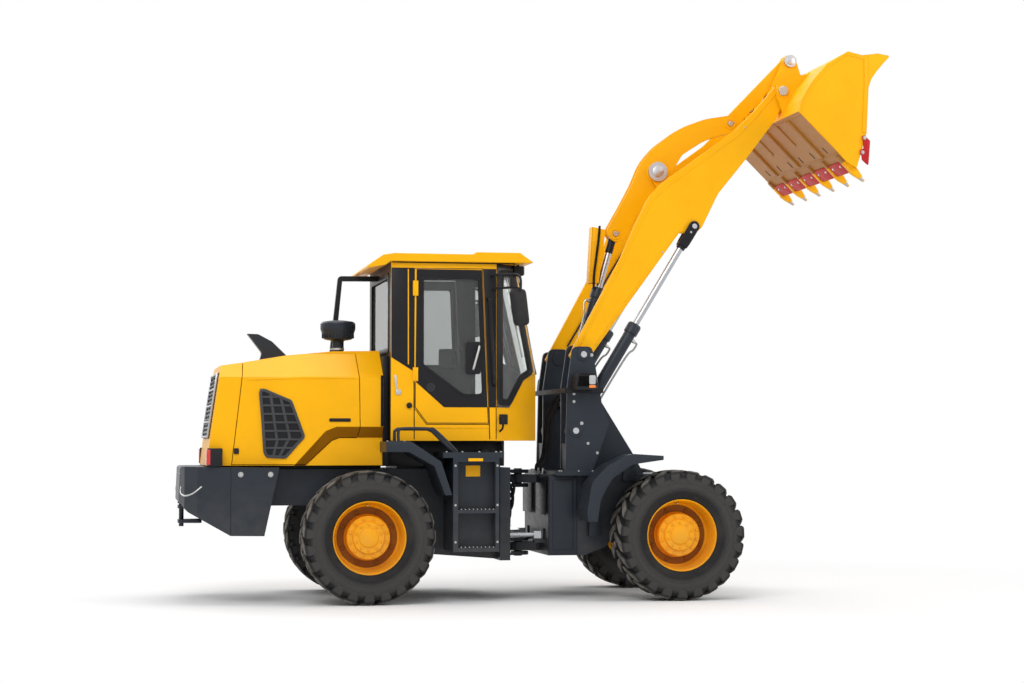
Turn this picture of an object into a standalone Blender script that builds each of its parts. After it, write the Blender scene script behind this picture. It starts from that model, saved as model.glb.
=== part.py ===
"""Compact articulated wheel loader with its boom raised and its bucket tipped.

Metres, +Z up, +X forward, +Y to the machine's left. Every place is measured from the
rear axle's centre line on the ground, and the machine's own empty carries the origin to
the middle of the whole machine's footprint.
"""
import math

import bmesh
import bpy
from mathutils import Matrix, Vector

# ---------------------------------------------------------------- driving dimensions
WHEELBASE = 2.60
HALF_TRACK = 0.775
TYRE_RADIUS = 0.54
RIM_RADIUS = 0.2997
WHEEL_SEGMENTS = 24
FOOTPRINT_MIDDLE_X = 1.4667

CONTACT_GAP = 0.0003

STEER_PIVOT_X = 1.40
STEER_PIN_RADIUS = 0.035
STEER_CYLINDER_Z = 0.53
STEER_BASE = (0.78, 0.30)
STEER_EYE = (1.50, 0.33)

CAB_REAR_X = 0.20
CAB_HALF_WIDTH = 0.70
CAB_TAPER_X = 1.08
CAB_FRONT_X = 1.485
CAB_FRONT_HALF_WIDTH = 0.34
CAB_FLOOR_Z = 1.322
CAB_TOP_Z = 2.795
CAB_WALL = 0.045
SILL_Z = 1.87
WINDSCREEN_TOP = (1.2718, 2.795)

HOOD_HALF_WIDTH = 0.62
HOOD_TOP_HALF_WIDTH = 0.35
HOOD_BOTTOM_Z = 1.12
HOOD_SKIN = 0.035

# Pivots of the loading gear, (x, z), with the boom raised and the bucket tipped.
BOOM_PIVOT = (1.844, 2.046)
BUCKET_PIVOT = (3.629, 4.340)
BELLCRANK_PIVOT = (2.627, 3.671)
BELLCRANK_LOWER_EYE = (2.255, 3.123)
BELLCRANK_UPPER_EYE = (3.302, 4.120)
LINK_PIVOT = (3.857, 4.694)
LIFT_BASE = (1.775, 1.406)
LIFT_EYE = (2.836, 3.154)
TILT_BASE = (1.900, 1.880)
CROSS_TUBE = (2.800, 3.400)

BOOM_Y = (0.4575, 0.5025)
TOWER_INNER_Y = (0.355, 0.385)
TOWER_OUTER_Y = (0.575, 0.605)
BELLCRANK_Y = (0.035, 0.060)
PIN_RADIUS = 0.036
BORE_RADIUS = 0.042
BUCKET_HALF_WIDTH = 0.97

SIDES = (("right", -1), ("left", 1))

# ---------------------------------------------------------------- scene and materials
for old in list(bpy.data.objects):
    bpy.data.objects.remove(old, do_unlink=True)

parts = bpy.data.collections.new("wheel_loader")
cutters = bpy.data.collections.new("cutters")
for collection in (parts, cutters):
    bpy.context.scene.collection.children.link(collection)


def make_material(name, colour, roughness, metallic=0.0, transmission=0.0):
    made = bpy.data.materials.new(name)
    made.use_nodes = True
    shader = made.node_tree.nodes["Principled BSDF"]
    shader.inputs["Base Color"].default_value = (*colour, 1.0)
    shader.inputs["Roughness"].default_value = roughness
    shader.inputs["Metallic"].default_value = metallic
    shader.inputs["Transmission Weight"].default_value = transmission
    return made


# name: (colour, roughness, metallic, transmission)
FINISHES = {
    "yellow_paint": ((0.98, 0.50, 0.01), 0.35, 0.0, 0.0),
    "slate_paint": ((0.035, 0.042, 0.052), 0.45, 0.0, 0.0),
    "rubber": ((0.035, 0.034, 0.033), 0.85, 0.0, 0.0),
    "rim_paint": ((0.98, 0.45, 0.02), 0.40, 0.0, 0.0),
    "black_plastic": ((0.02, 0.02, 0.022), 0.55, 0.0, 0.0),
    "glass": ((0.25, 0.45, 0.36), 0.05, 0.0, 0.9),
    "chrome": ((0.75, 0.76, 0.78), 0.12, 1.0, 0.0),
    "steel": ((0.45, 0.45, 0.46), 0.40, 1.0, 0.0),
    "seat_cloth": ((0.04, 0.04, 0.045), 0.90, 0.0, 0.0),
}
MATERIALS = {name: make_material(name, *finish) for name, finish in FINISHES.items()}


# ---------------------------------------------------------------- bodies and joints
class Body:
    """An empty on a joint's axis; what moves with that joint hangs from it."""

    def __init__(self, name, pivot, parent=None):
        self.pivot = Vector(pivot)
        self.empty = bpy.data.objects.new(name, None)
        self.empty.empty_display_size = 0.1
        parts.objects.link(self.empty)
        if parent is None:
            self.empty.location = (-FOOTPRINT_MIDDLE_X, 0.0, 0.0)
        else:
            self.empty.parent = parent.empty
            self.empty.location = self.pivot - parent.pivot


def on_plane(point, y=0.0):
    """A pivot given as (x, z) becomes a place in space."""
    return (point[0], y, point[1])


machine = Body("machine", (0.0, 0.0, 0.0))


# ---------------------------------------------------------------- shapes
def as_object(mesh):
    made = bpy.data.objects.new("shape", mesh)
    parts.objects.link(made)
    return made


def from_bmesh(bm):
    mesh = bpy.data.meshes.new("shape")
    bm.to_mesh(mesh)
    bm.free()
    return as_object(mesh)


def baked(source, weld=0.00001):
    """A curve or a modified object becomes a plain mesh, with its loose caps welded."""
    bpy.context.view_layer.update()
    evaluated = source.evaluated_get(bpy.context.evaluated_depsgraph_get())
    mesh = bpy.data.meshes.new_from_object(evaluated)
    mesh.transform(source.matrix_world)
    bm = bmesh.new()
    bm.from_mesh(mesh)
    bmesh.ops.remove_doubles(bm, verts=bm.verts, dist=weld)
    bm.to_mesh(mesh)
    bm.free()
    bpy.data.objects.remove(source, do_unlink=True)
    return as_object(mesh)


def box(low, high):
    bm = bmesh.new()
    size = Vector(high) - Vector(low)
    middle = (Vector(high) + Vector(low)) / 2
    stretch = Matrix.Translation(middle) @ Matrix.Diagonal((*size, 1.0))
    bmesh.ops.create_cube(bm, size=1.0, matrix=stretch)
    return from_bmesh(bm)


def rod(start, end, radius, segments=12):
    """A round bar between two points, with a flat and not a corner on its axes."""
    start, end = Vector(start), Vector(end)
    direction = end - start
    turn = direction.to_track_quat("Z", "Y").to_matrix().to_4x4()
    turn @= Matrix.Rotation(math.pi / segments, 4, "Z")
    bm = bmesh.new()
    bmesh.ops.create_cone(
        bm, cap_ends=True, cap_tris=False, segments=segments,
        radius1=radius, radius2=radius,
        depth=direction.length, matrix=Matrix.Translation((start + end) / 2) @ turn)
    return from_bmesh(bm)


def cross_rod(point, y_low, y_high, radius, segments=12):
    """A round bar across the machine at a pivot."""
    return rod(on_plane(point, y_low), on_plane(point, y_high), radius, segments)


def rounded(corners, arc_steps=3):
    """Corners are (x, z) or (x, z, radius); a radius turns the corner into an arc."""
    outline = []
    count = len(corners)
    for index, corner in enumerate(corners):
        here = Vector(corner[:2])
        if len(corner) < 3:
            outline.append(here)
            continue
        before = (Vector(corners[index - 1][:2]) - here).normalized()
        after = (Vector(corners[(index + 1) % count][:2]) - here).normalized()
        half_angle = before.angle(after) / 2
        reach = corner[2] / math.tan(half_angle)
        centre = here + (before + after).normalized() * (corner[2] / math.sin(half_angle))
        first = here + before * reach - centre
        sweep = first.angle_signed(here + after * reach - centre)
        for step in range(arc_steps + 1):
            turn = Matrix.Rotation(-sweep * step / arc_steps, 2)
            outline.append(centre + turn @ first)
    return outline


def flat_solid(outline, thickness):
    """A flat outline in XY, as thick as asked and centred on z = 0."""
    curve = bpy.data.curves.new("outline", "CURVE")
    curve.dimensions = "2D"
    curve.fill_mode = "BOTH"
    curve.extrude = thickness / 2
    spline = curve.splines.new("POLY")
    spline.points.add(len(outline) - 1)
    for point, (x, y) in zip(spline.points, outline):
        point.co = (x, y, 0.0, 1.0)
    spline.use_cyclic_u = True
    made = bpy.data.objects.new("outline", curve)
    parts.objects.link(made)
    return made


def plate(corners, y_low, y_high, arc_steps=3):
    """An upright plate: its outline is seen from the side, in (x, z)."""
    made = flat_solid(rounded(corners, arc_steps), y_high - y_low)
    made.rotation_euler = (math.pi / 2, 0.0, 0.0)
    made.location = (0.0, (y_low + y_high) / 2, 0.0)
    return baked(made)


def slab(corners, z_low, z_high, arc_steps=3):
    """A level plate: its outline is seen from above, in (x, y)."""
    made = flat_solid(rounded(corners, arc_steps), z_high - z_low)
    made.location = (0.0, 0.0, (z_low + z_high) / 2)
    return baked(made)


def pipe(points, radius, bevel_resolution=2):
    curve = bpy.data.curves.new("pipe", "CURVE")
    curve.dimensions = "3D"
    curve.bevel_depth = radius
    curve.bevel_resolution = bevel_resolution
    curve.use_fill_caps = True
    spline = curve.splines.new("POLY")
    spline.points.add(len(points) - 1)
    for point, place in zip(spline.points, points):
        point.co = (*place, 1.0)
    made = bpy.data.objects.new("pipe", curve)
    parts.objects.link(made)
    return baked(made)


def turned(profile, closed=False, segments=WHEEL_SEGMENTS, half_step=False):
    """(radius, height) points turned about Z; the profile runs down its outer side."""
    mesh = bpy.data.meshes.new("profile")
    edges = [(index, index + 1) for index in range(len(profile) - 1)]
    if closed:
        edges.append((len(profile) - 1, 0))
    mesh.from_pydata([(radius, 0.0, height) for radius, height in profile], edges, [])
    made = as_object(mesh)
    screw = made.modifiers.new("turn", "SCREW")
    screw.steps = segments
    screw.render_steps = segments
    screw.use_merge_vertices = True
    screw.merge_threshold = 0.0001
    if half_step:
        made.rotation_euler = (0.0, 0.0, math.pi / segments)
    return baked(made)


def mirrored_y(corners):
    """The same outline seen from above on the other side, in the same sense."""
    return [(x, -y) for x, y in reversed(corners)]


def hull_of_circles(first, first_radius, second, second_radius, steps=5):
    """Outline of a bar with two round ends, in (x, z)."""
    first, second = Vector(first), Vector(second)
    along = second - first
    heading = math.atan2(along.y, along.x)
    lean = math.acos((first_radius - second_radius) / along.length)
    outline = []
    for centre, radius, begin, end in (
            (second, second_radius, -lean, lean),
            (first, first_radius, lean, 2 * math.pi - lean)):
        for step in range(steps + 1):
            angle = heading + begin + (end - begin) * step / steps
            outline.append((centre.x + radius * math.cos(angle),
                            centre.y + radius * math.sin(angle)))
    return outline


# ---------------------------------------------------------------- assembling
def hide_as_cutter(shape):
    parts.objects.unlink(shape)
    cutters.objects.link(shape)
    shape.hide_render = True
    shape.display_type = "WIRE"


def combine(base, unions=(), cuts=(), limits=()):
    """Boolean steps in order: unions, then cuts, then what is kept inside limits."""
    for operation, operands in (("UNION", unions), ("INTERSECT", limits),
                                ("DIFFERENCE", cuts)):
        for operand in operands:
            step = base.modifiers.new(operation.lower(), "BOOLEAN")
            step.operation = operation
            step.solver = "EXACT"
            step.object = operand
            operand.name = "tool"
            hide_as_cutter(operand)
    return base


def operands_of(shape):
    found = []
    for step in shape.modifiers:
        if step.type == "BOOLEAN":
            found.append(step.object)
            found.extend(operands_of(step.object))
    return found


def part(name, shape, material, body=machine, at=(0.0, 0.0, 0.0), rotation=(0.0, 0.0, 0.0),
         smooth_angle=35.0):
    """Name a finished shape and hang it, with its cutters, from its body."""
    shape.name = name
    shape.data.name = name
    shape.data.materials.clear()
    shape.data.materials.append(MATERIALS[material])
    shape.data.shade_smooth()
    shape.data.set_sharp_from_angle(angle=math.radians(smooth_angle))
    for index, piece in enumerate([shape] + operands_of(shape)):
        piece.parent = body.empty
        piece.location = Vector(at) - body.pivot
        piece.rotation_euler = rotation
        if index:
            piece.name = f"{name}_tool_{index}"
    return shape


# ---------------------------------------------------------------- wheels and axles
TREAD_RADIUS = TYRE_RADIUS / math.cos(math.pi / WHEEL_SEGMENTS)

# (radius, offset towards the outside of the machine)
TYRE_PROFILE = [
    (TREAD_RADIUS, 0.140), (TREAD_RADIUS, -0.140), (0.515, -0.180), (0.440, -0.200),
    (0.360, -0.192), (0.300, -0.168), (0.300, 0.168), (0.360, 0.192), (0.440, 0.200),
    (0.515, 0.180)]
RIM_PROFILE = [
    (0.0, 0.118), (0.100, 0.118), (0.110, 0.092), (0.172, 0.088), (0.180, 0.062),
    (0.236, 0.050), (0.268, 0.160), (RIM_RADIUS, 0.172), (RIM_RADIUS, -0.172),
    (0.272, -0.168), (0.256, 0.020), (0.0, 0.020)]
# (radius, offset from the machine's centre line); the other half is its mirror image
AXLE_HALF_PROFILE = [
    (0.0, 0.7945), (0.092, 0.7945), (0.092, 0.670), (0.135, 0.655), (0.135, 0.560),
    (0.085, 0.530), (0.085, 0.240), (0.165, 0.110)]


def wheel(place, axle_x, side_name, side, body):
    outward = (math.pi / 2 * -side, 0.0, 0.0)
    centre = (axle_x, side * HALF_TRACK, TYRE_RADIUS)
    tyre = turned(TYRE_PROFILE, closed=True, half_step=True)
    part(f"{place}_tyre_{side_name}", tyre, "rubber", body, centre, outward)
    rim = turned(RIM_PROFILE, half_step=True)
    part(f"{place}_rim_{side_name}", rim, "rim_paint", body, centre, outward)


def axle(name, axle_x, body):
    profile = AXLE_HALF_PROFILE + [(r, -y) for r, y in reversed(AXLE_HALF_PROFILE)]
    housing = turned(profile, segments=16)
    part(name, housing, "slate_paint", body, (axle_x, 0.0, TYRE_RADIUS),
         (math.pi / 2, 0.0, 0.0))


# ---------------------------------------------------------------- rear frame
LUG_HALF_WIDTH = 0.14
LUG_END_RADIUS = 0.09
BULKHEAD = (1.130, 1.217)
# (bottom, top) of the lugs on the steering pin: rear frame's in pairs, front frame's single
REAR_LUGS = ((0.925, 0.955), (1.045, 1.075), (0.345, 0.375), (0.465, 0.495))
FRONT_LUGS = ((0.965, 1.035), (0.385, 0.455))
STEER_PINS = ((0.926, 1.085), (0.335, 0.496))
RAIL_Y = (0.405, 0.435)


def lug(root_x, z_low, z_high):
    """A level lug from a frame's face to the steering pin."""
    outline = hull_of_circles((root_x, 0.0), LUG_HALF_WIDTH,
                              (STEER_PIVOT_X, 0.0), LUG_END_RADIUS)
    return slab(outline, z_low, z_high)


def rear_chassis():
    rail = [(-1.07, 0.79), (-0.20, 0.79), (0.22, 0.76), (0.60, 0.378), (1.14, 0.335),
            (1.14, 1.09), (-1.07, 1.09)]
    base = box((BULKHEAD[0], -0.60, 0.33), (BULKHEAD[1], 0.60, 1.10))
    joined = [plate(rail, side * RAIL_Y[0] if side > 0 else -RAIL_Y[1],
                    RAIL_Y[1] if side > 0 else -RAIL_Y[0]) for _, side in SIDES]
    joined += [
        box((0.24, -0.42, 1.055), (1.14, 0.42, 1.085)),
        box((-1.065, -0.42, 0.80), (-1.035, 0.42, 1.08)),
        box((-0.12, -0.42, 0.84), (0.12, 0.42, 0.98)),
        box((-0.09, -0.12, 0.712), (0.09, 0.12, 0.85)),
        box((0.69, -0.42, 0.44), (0.735, 0.42, 0.62)),
    ]
    for z_low, z_high in REAR_LUGS:
        joined.append(lug(BULKHEAD[1], z_low, z_high))
    for z_low, z_high in STEER_PINS:
        joined.append(rod((STEER_PIVOT_X, 0, z_low), (STEER_PIVOT_X, 0, z_high),
                          STEER_PIN_RADIUS))
    for _, side in SIDES:
        x, y = STEER_BASE
        joined.append(box((0.72, side * y - 0.045, STEER_CYLINDER_Z - 0.068),
                          (x + 0.035, side * y + 0.045, STEER_CYLINDER_Z - 0.040)))
        joined.append(rod((x, side * y, STEER_CYLINDER_Z - 0.05),
                          (x, side * y, STEER_CYLINDER_Z + 0.05), 0.018))
    windows = [box((1.10, min(side * 0.16, side * 0.40), STEER_CYLINDER_Z - 0.09),
                   (1.25, max(side * 0.16, side * 0.40), STEER_CYLINDER_Z + 0.09))
               for _, side in SIDES]
    part("rear_chassis", combine(base, unions=joined, cuts=windows), "slate_paint")


def counterweight():
    profile = [(-0.709, 1.105), (-1.492, 1.113, 0.02), (-1.503, 0.833, 0.03),
               (-1.430, 0.743), (-1.099, 0.557), (-0.827, 0.553)]
    base = plate(profile, -0.72, 0.72)
    pocket = box((-1.0755, -0.4355, 0.40), (-0.50, 0.4355, 1.30))
    corner = [(-1.10, 0.74), (-1.10, 0.7201), (-1.36, 0.62), (-1.46, 0.50), (-1.52, 0.30),
              (-1.60, 0.30), (-1.60, 0.74)]
    part("counterweight", combine(base, cuts=[pocket, slab(corner, 0.4, 1.3),
                                              slab(mirrored_y(corner), 0.4, 1.3)]),
         "slate_paint")


def engine():
    part("engine", box((-0.90, -0.28, 0.99), (0.06, 0.28, 1.62)), "black_plastic")


# ---------------------------------------------------------------- hood
HOOD_SIDE = [(0.150, 1.12), (0.150, 2.073), (-0.241, 2.066), (-0.623, 2.029),
             (-0.987, 1.965), (-1.175, 1.936), (-1.266, 1.307), (-1.287, 1.12)]
HOOD_HOLLOW = [(0.30, 0.90), (0.30, 2.038), (-0.243, 2.031), (-0.620, 1.994),
               (-0.982, 1.930), (-1.145, 1.902), (-1.231, 1.300), (-1.250, 0.90)]
# The lower side is recessed over the wheel, with a sloping face between these two lines.
UNDERCUT_OUTER = [(-0.690, 1.00), (-0.580, 1.126), (-0.325, 1.405), (-0.240, 1.440),
                  (0.30, 1.440), (0.30, 1.00)]
UNDERCUT_INNER = [(-0.590, 1.00), (-0.480, 1.126), (-0.265, 1.322), (-0.205, 1.345),
                  (0.30, 1.345), (0.30, 1.00)]
UNDERCUT_INNER_HALF_WIDTH = 0.555
UNDERCUT_WALL = [(-0.760, 0.90), (-0.624, 1.126), (-0.352, 1.432), (-0.252, 1.475),
                 (0.40, 1.475), (0.40, 0.90)]
HOOD_DOOR = [(-1.084, 1.130), (-0.991, 1.947), (-0.991, 2.20), (-0.058, 2.20),
             (-0.044, 1.425), (-0.064, 1.350), (-0.205, 1.350), (-0.270, 1.326),
             (-0.478, 1.130)]
HOOD_DOOR_HINGE = (-1.096, 0.628)


def chamfer_tool(side, inset):
    """A tilted block that slopes the hood's shoulder down to its side."""
    outer_y = HOOD_HALF_WIDTH - inset
    inner_y = HOOD_TOP_HALF_WIDTH - inset * 0.6
    outline = [(outer_y, 1.840 - inset), (inner_y, 2.052 - inset), (inner_y, 2.40),
               (outer_y + 0.30, 2.40), (outer_y + 0.30, 1.60), (outer_y, 1.60)]
    tool = flat_solid([(side * y, z) for y, z in outline], 2.2)
    tool.rotation_euler = (math.pi / 2, 0.0, math.pi / 2)
    tool.location = (-0.5, 0.0, 0.0)
    return baked(tool)


def undercut_tool(side):
    """What is cut from the hood's side: its outline grows from the recess to the outside."""
    bm = bmesh.new()
    rings = [[bm.verts.new((x, side * y, z)) for x, z in outline]
             for outline, y in ((UNDERCUT_INNER, UNDERCUT_INNER_HALF_WIDTH),
                                (UNDERCUT_OUTER, HOOD_HALF_WIDTH), (UNDERCUT_OUTER, 0.80))]
    for first, second in zip(rings, rings[1:]):
        for index in range(len(first)):
            after = (index + 1) % len(first)
            bm.faces.new((first[index], first[after], second[after], second[index]))
    bm.faces.new(rings[0])
    bm.faces.new(rings[-1])
    bmesh.ops.triangulate(bm, faces=bm.faces)
    bmesh.ops.recalc_face_normals(bm, faces=bm.faces)
    return from_bmesh(bm)


def hood_outside():
    cuts = [chamfer_tool(side, 0.0) for _, side in SIDES]
    cuts += [undercut_tool(side) for _, side in SIDES]
    return combine(plate(HOOD_SIDE, -HOOD_HALF_WIDTH, HOOD_HALF_WIDTH), cuts=cuts)


def hood_inside():
    cuts = [chamfer_tool(side, HOOD_SKIN) for _, side in SIDES]
    for _, side in SIDES:
        low, high = sorted((side * 0.52, side * 0.80))
        cuts.append(plate(UNDERCUT_WALL, low, high))
    half = HOOD_HALF_WIDTH - HOOD_SKIN
    return combine(plate(HOOD_HOLLOW, -half, half), cuts=cuts)


def grow(corners, amount):
    """Push an outline's corners outwards by about the same amount all round."""
    middle = Vector((sum(c[0] for c in corners), sum(c[1] for c in corners))) / len(corners)
    grown = []
    for index, corner in enumerate(corners):
        here = Vector(corner[:2])
        before = (here - Vector(corners[index - 1][:2])).normalized()
        after = (Vector(corners[(index + 1) % len(corners)][:2]) - here).normalized()
        push = Vector((before.y + after.y, -before.x - after.x))
        if push.length < 1e-6:
            push = here - middle
        push.normalize()
        if push.dot(Vector((before.y, -before.x))) < 0:
            push = -push
        share = max(0.35, push.dot(Vector((before.y, -before.x))))
        grown.append(here + push * (amount * outline_sense(corners) / share))
    return grown


def outline_sense(corners):
    """+1 where the outline runs anticlockwise, -1 where it runs clockwise."""
    doubled_area = 0.0
    for index, corner in enumerate(corners):
        after = corners[(index + 1) % len(corners)]
        doubled_area += corner[0] * after[1] - after[0] * corner[1]
    return 1.0 if doubled_area > 0 else -1.0


def hood():
    cuts = [hood_inside(), box((-1.40, -0.46, 1.34), (-1.10, 0.46, 1.88))]
    for _, side in SIDES:
        low, high = sorted((side * 0.352, side * 0.90))
        cuts.append(plate(grow(HOOD_DOOR, 0.006), low, high))
    part("hood", combine(hood_outside(), cuts=cuts), "yellow_paint")


def hood_door(side_name, side):
    body = Body(f"hood_door_{side_name}_hinge", (HOOD_DOOR_HINGE[0], side * HOOD_DOOR_HINGE[1],
                                                 1.50), machine)
    low, high = sorted((side * 0.358, side * 0.90))
    shape = combine(plate(HOOD_DOOR, low, high), limits=[hood_outside()], cuts=[hood_inside()])
    part(f"hood_door_{side_name}", shape, "yellow_paint", body)


def rear_grille():
    slant = [(-1.2680, 1.343), (-1.2300, 1.343), (-1.1560, 1.877), (-1.1900, 1.877)]
    part("rear_grille", plate(slant, -0.457, 0.457), "black_plastic")


def exhaust_fin():
    outline = [(-0.824, 1.9942), (-0.806, 2.062, 0.03), (-0.928, 2.221), (-0.838, 2.219, 0.06),
               (-0.722, 2.158, 0.10), (-0.592, 2.0325), (-0.623, 2.0295)]
    part("exhaust_fin", plate(outline, -0.05, 0.05), "slate_paint")


def precleaner():
    x, y = -0.171, -0.10
    profile = [(0.0, 0.271), (0.120, 0.266), (0.148, 0.245), (0.148, 0.194), (0.119, 0.106),
               (0.060, 0.100), (0.050, 0.0), (0.0, 0.0)]
    part("precleaner", turned(profile, segments=24), "slate_paint", at=(x, y, 2.0688))


# ---------------------------------------------------------------- cab
CAB_PLAN = [(CAB_REAR_X, -CAB_HALF_WIDTH), (CAB_TAPER_X, -CAB_HALF_WIDTH),
            (CAB_FRONT_X, -CAB_FRONT_HALF_WIDTH), (CAB_FRONT_X, CAB_FRONT_HALF_WIDTH),
            (CAB_TAPER_X, CAB_HALF_WIDTH), (CAB_REAR_X, CAB_HALF_WIDTH)]
DOOR_OUTLINE = [(0.397, 2.738), (0.960, 2.742), (1.018, 1.460), (0.496, 1.460),
                (0.394, 1.597), (0.394, 1.793)]
DOOR_WINDOW = [(0.462, 2.665), (0.930, 2.670), (0.968, 1.700), (0.800, 1.697),
               (0.462, 1.945)]
DOOR_THICKNESS = 0.045
CAB_DOOR_HINGE = (0.383, 0.709)
QUARTER_WINDOW = [(1.110, 1.640), (1.200, 1.640), (1.330, 1.850), (1.425, 1.905),
                  (1.240, 2.715), (1.110, 2.715)]
REAR_WINDOW = [(-0.54, 2.08), (0.54, 2.08), (0.54, 2.68), (-0.54, 2.68)]


def windscreen_slope(offset):
    """What lies in front of the sloping windscreen, pushed outwards by the offset."""
    foot = CAB_FRONT_X + offset
    head = WINDSCREEN_TOP[0] + offset
    return plate([(foot, SILL_Z), (head, CAB_TOP_Z), (head - 0.02, CAB_TOP_Z + 0.09),
                  (1.80, CAB_TOP_Z + 0.09), (1.80, SILL_Z)], -0.9, 0.9)


def cab_solid(offset, z_low, z_high):
    return combine(slab(grow(CAB_PLAN, offset), z_low, z_high),
                   cuts=[windscreen_slope(offset)])


def cab():
    base = cab_solid(0.0, CAB_FLOOR_Z, CAB_TOP_Z)
    plinth = box((0.30, -0.35, 1.0855), (1.02, 0.35, 1.34))
    bar = plate([(0.215, 2.736), (-0.145, 2.732, 0.03), (-0.215, 2.0680), (-0.170, 2.0680),
                 (-0.110, 2.689), (0.215, 2.692)], 0.128, 0.172)
    cuts = [cab_solid(-CAB_WALL, CAB_FLOOR_Z + 0.048, CAB_TOP_Z + 0.05),
            box((1.20, -0.30, 1.905), (1.60, 0.30, 2.715)),
            box((0.10, -0.54, 2.08), (0.30, 0.54, 2.68))]
    for _, side in SIDES:
        low, high = sorted((side * 0.60, side * 0.90))
        cuts.append(plate(grow(DOOR_OUTLINE, 0.006), low, high))
        low, high = sorted((side * 0.28, side * 0.90))
        cuts.append(plate(QUARTER_WINDOW, low, high))
    part("cab", combine(base, unions=[plinth, bar], cuts=cuts), "yellow_paint")


def cab_roof():
    outline = [(-0.001, 2.752), (0.131, 2.848), (0.224, 2.862), (0.878, 2.861), (0.905, 2.880),
               (1.275, 2.880), (1.303, 2.858), (1.387, 2.800), (1.360, 2.7953),
               (0.190, 2.7953), (0.150, 2.765), (0.010, 2.738)]
    base = plate(outline, -0.75, 0.75)
    bevel = base.modifiers.new("soft_edges", "BEVEL")
    bevel.width = 0.006
    bevel.segments = 1
    part("cab_roof", base, "yellow_paint")


def cab_door(side_name, side):
    body = Body(f"cab_door_{side_name}_hinge", (CAB_DOOR_HINGE[0], side * CAB_DOOR_HINGE[1],
                                                2.10), machine)
    low, high = sorted((side * (CAB_HALF_WIDTH - DOOR_THICKNESS), side * CAB_HALF_WIDTH))
    window = plate(DOOR_WINDOW, -0.9, 0.9)
    part(f"cab_door_{side_name}", combine(plate(DOOR_OUTLINE, low, high), cuts=[window]),
         "yellow_paint", body)
    low, high = sorted((side * 0.692, side * 0.686))
    pane = plate(grow(DOOR_WINDOW, -CONTACT_GAP), low, high)
    part(f"door_glass_{side_name}", pane, "glass", body)


def windscreen():
    region = [(1.085, 1.600), (1.210, 1.600), (1.335, 1.815), (1.410, 1.880), (1.60, 1.880),
              (1.60, 2.760), (1.085, 2.760)]
    base = cab_solid(0.0083, 1.60, 2.90)
    part("windscreen", combine(base, limits=[plate(region, -0.9, 0.9)],
                               cuts=[cab_solid(CONTACT_GAP, 1.50, 2.95)]), "glass")


def rear_window():
    part("rear_window", box((0.212, -0.5397, 2.0803), (0.218, 0.5397, 2.6797)), "glass")


def seat():
    cushion = plate([(0.40, 1.74), (0.86, 1.76, 0.03), (0.88, 1.85, 0.04), (0.44, 1.83)],
                    -0.23, 0.23)
    back = plate([(0.36, 1.80), (0.47, 1.80), (0.40, 2.42, 0.04), (0.30, 2.42, 0.03)],
                 -0.22, 0.22)
    part("seat", combine(cushion, unions=[back]), "seat_cloth")


def cab_interior():
    floor = CAB_FLOOR_Z + 0.048 + CONTACT_GAP
    base = box((0.30, -0.40, floor), (1.33, 0.40, floor + 0.012))
    pedestal = box((0.42, -0.20, floor + 0.004), (0.80, 0.20, 1.7370))
    consoles = [box((0.44, min(side * 0.28, side * 0.40), floor + 0.004),
                    (0.92, max(side * 0.28, side * 0.40), 1.92)) for _, side in SIDES]
    column = rod((1.27, 0.0, floor + 0.016), (1.10, 0.0, 2.02), 0.05, 12)
    dash = plate([(1.20, floor + 0.003), (1.40, floor + 0.003), (1.36, 1.92), (1.24, 1.98),
                  (1.17, 1.92)], -0.17, 0.17)
    tilt = Matrix.Rotation(math.radians(-26), 4, "Y")
    ring = turned([(0.185, 0.012), (0.185, -0.012), (0.160, -0.012), (0.160, 0.012)],
                  closed=True, segments=20)
    spokes = box((-0.17, -0.018, -0.006), (0.17, 0.018, 0.006))
    hub = rod((0, 0, -0.06), (0, 0, 0.015), 0.045, 12)
    for piece in (ring, spokes, hub):
        piece.data.transform(Matrix.Translation((1.085, 0.0, 2.045)) @ tilt)
    part("cab_interior", combine(base, unions=[pedestal, *consoles, dash, column, ring, spokes,
                                               hub]), "black_plastic")


# ---------------------------------------------------------------- sides of the rear frame
FENDER_TOP = 1.316
TANK = dict(rear=0.681, front=1.062, bottom=0.42, top=1.229, inner=0.4365, outer=0.93)


def tank_box(side_name, side):
    def span(near, far):
        return sorted((side * near, side * far))

    inner, outer = span(TANK["inner"], TANK["outer"])
    base = box((TANK["rear"], inner, TANK["bottom"]), (TANK["front"], outer, 1.20))
    flange = box((0.600, inner, 1.183), (1.102, outer, TANK["top"]))
    rail = pipe([(0.21, side * 0.85, FENDER_TOP + CONTACT_GAP), (0.21, side * 0.85, 1.40),
                 (0.235, side * 0.85, 1.418), (0.48, side * 0.85, 1.418),
                 (0.52, side * 0.85, 1.400), (0.715, side * 0.85, 1.21)], 0.014)
    cuts = []
    for z_low, z_high in ((0.455, 0.733), (0.762, 1.150)):
        low, high = span(0.80, 1.00)
        cuts.append(box((0.722, low, z_low), (1.030, high, z_high)))
    part(f"tank_box_{side_name}", combine(base, unions=[flange, rail], cuts=cuts),
         "slate_paint")


def rear_fender(side_name, side):
    low, high = sorted((side * 0.4365, side * 0.95))
    outline = [(0.13, FENDER_TOP - 0.085), (0.13, FENDER_TOP), (0.335, FENDER_TOP, 0.05),
               (0.578, 1.150, 0.05), (0.668, 0.882), (0.612, 0.882), (0.525, 1.115, 0.03),
               (0.315, FENDER_TOP - 0.085, 0.03)]
    low_notch, high_notch = sorted((side * 0.40, side * 0.5553))
    notch = box((0.0, low_notch, 1.20), (0.1503, high_notch, 1.40))
    part(f"rear_fender_{side_name}", combine(plate(outline, low, high), cuts=[notch]),
         "slate_paint")


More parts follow.
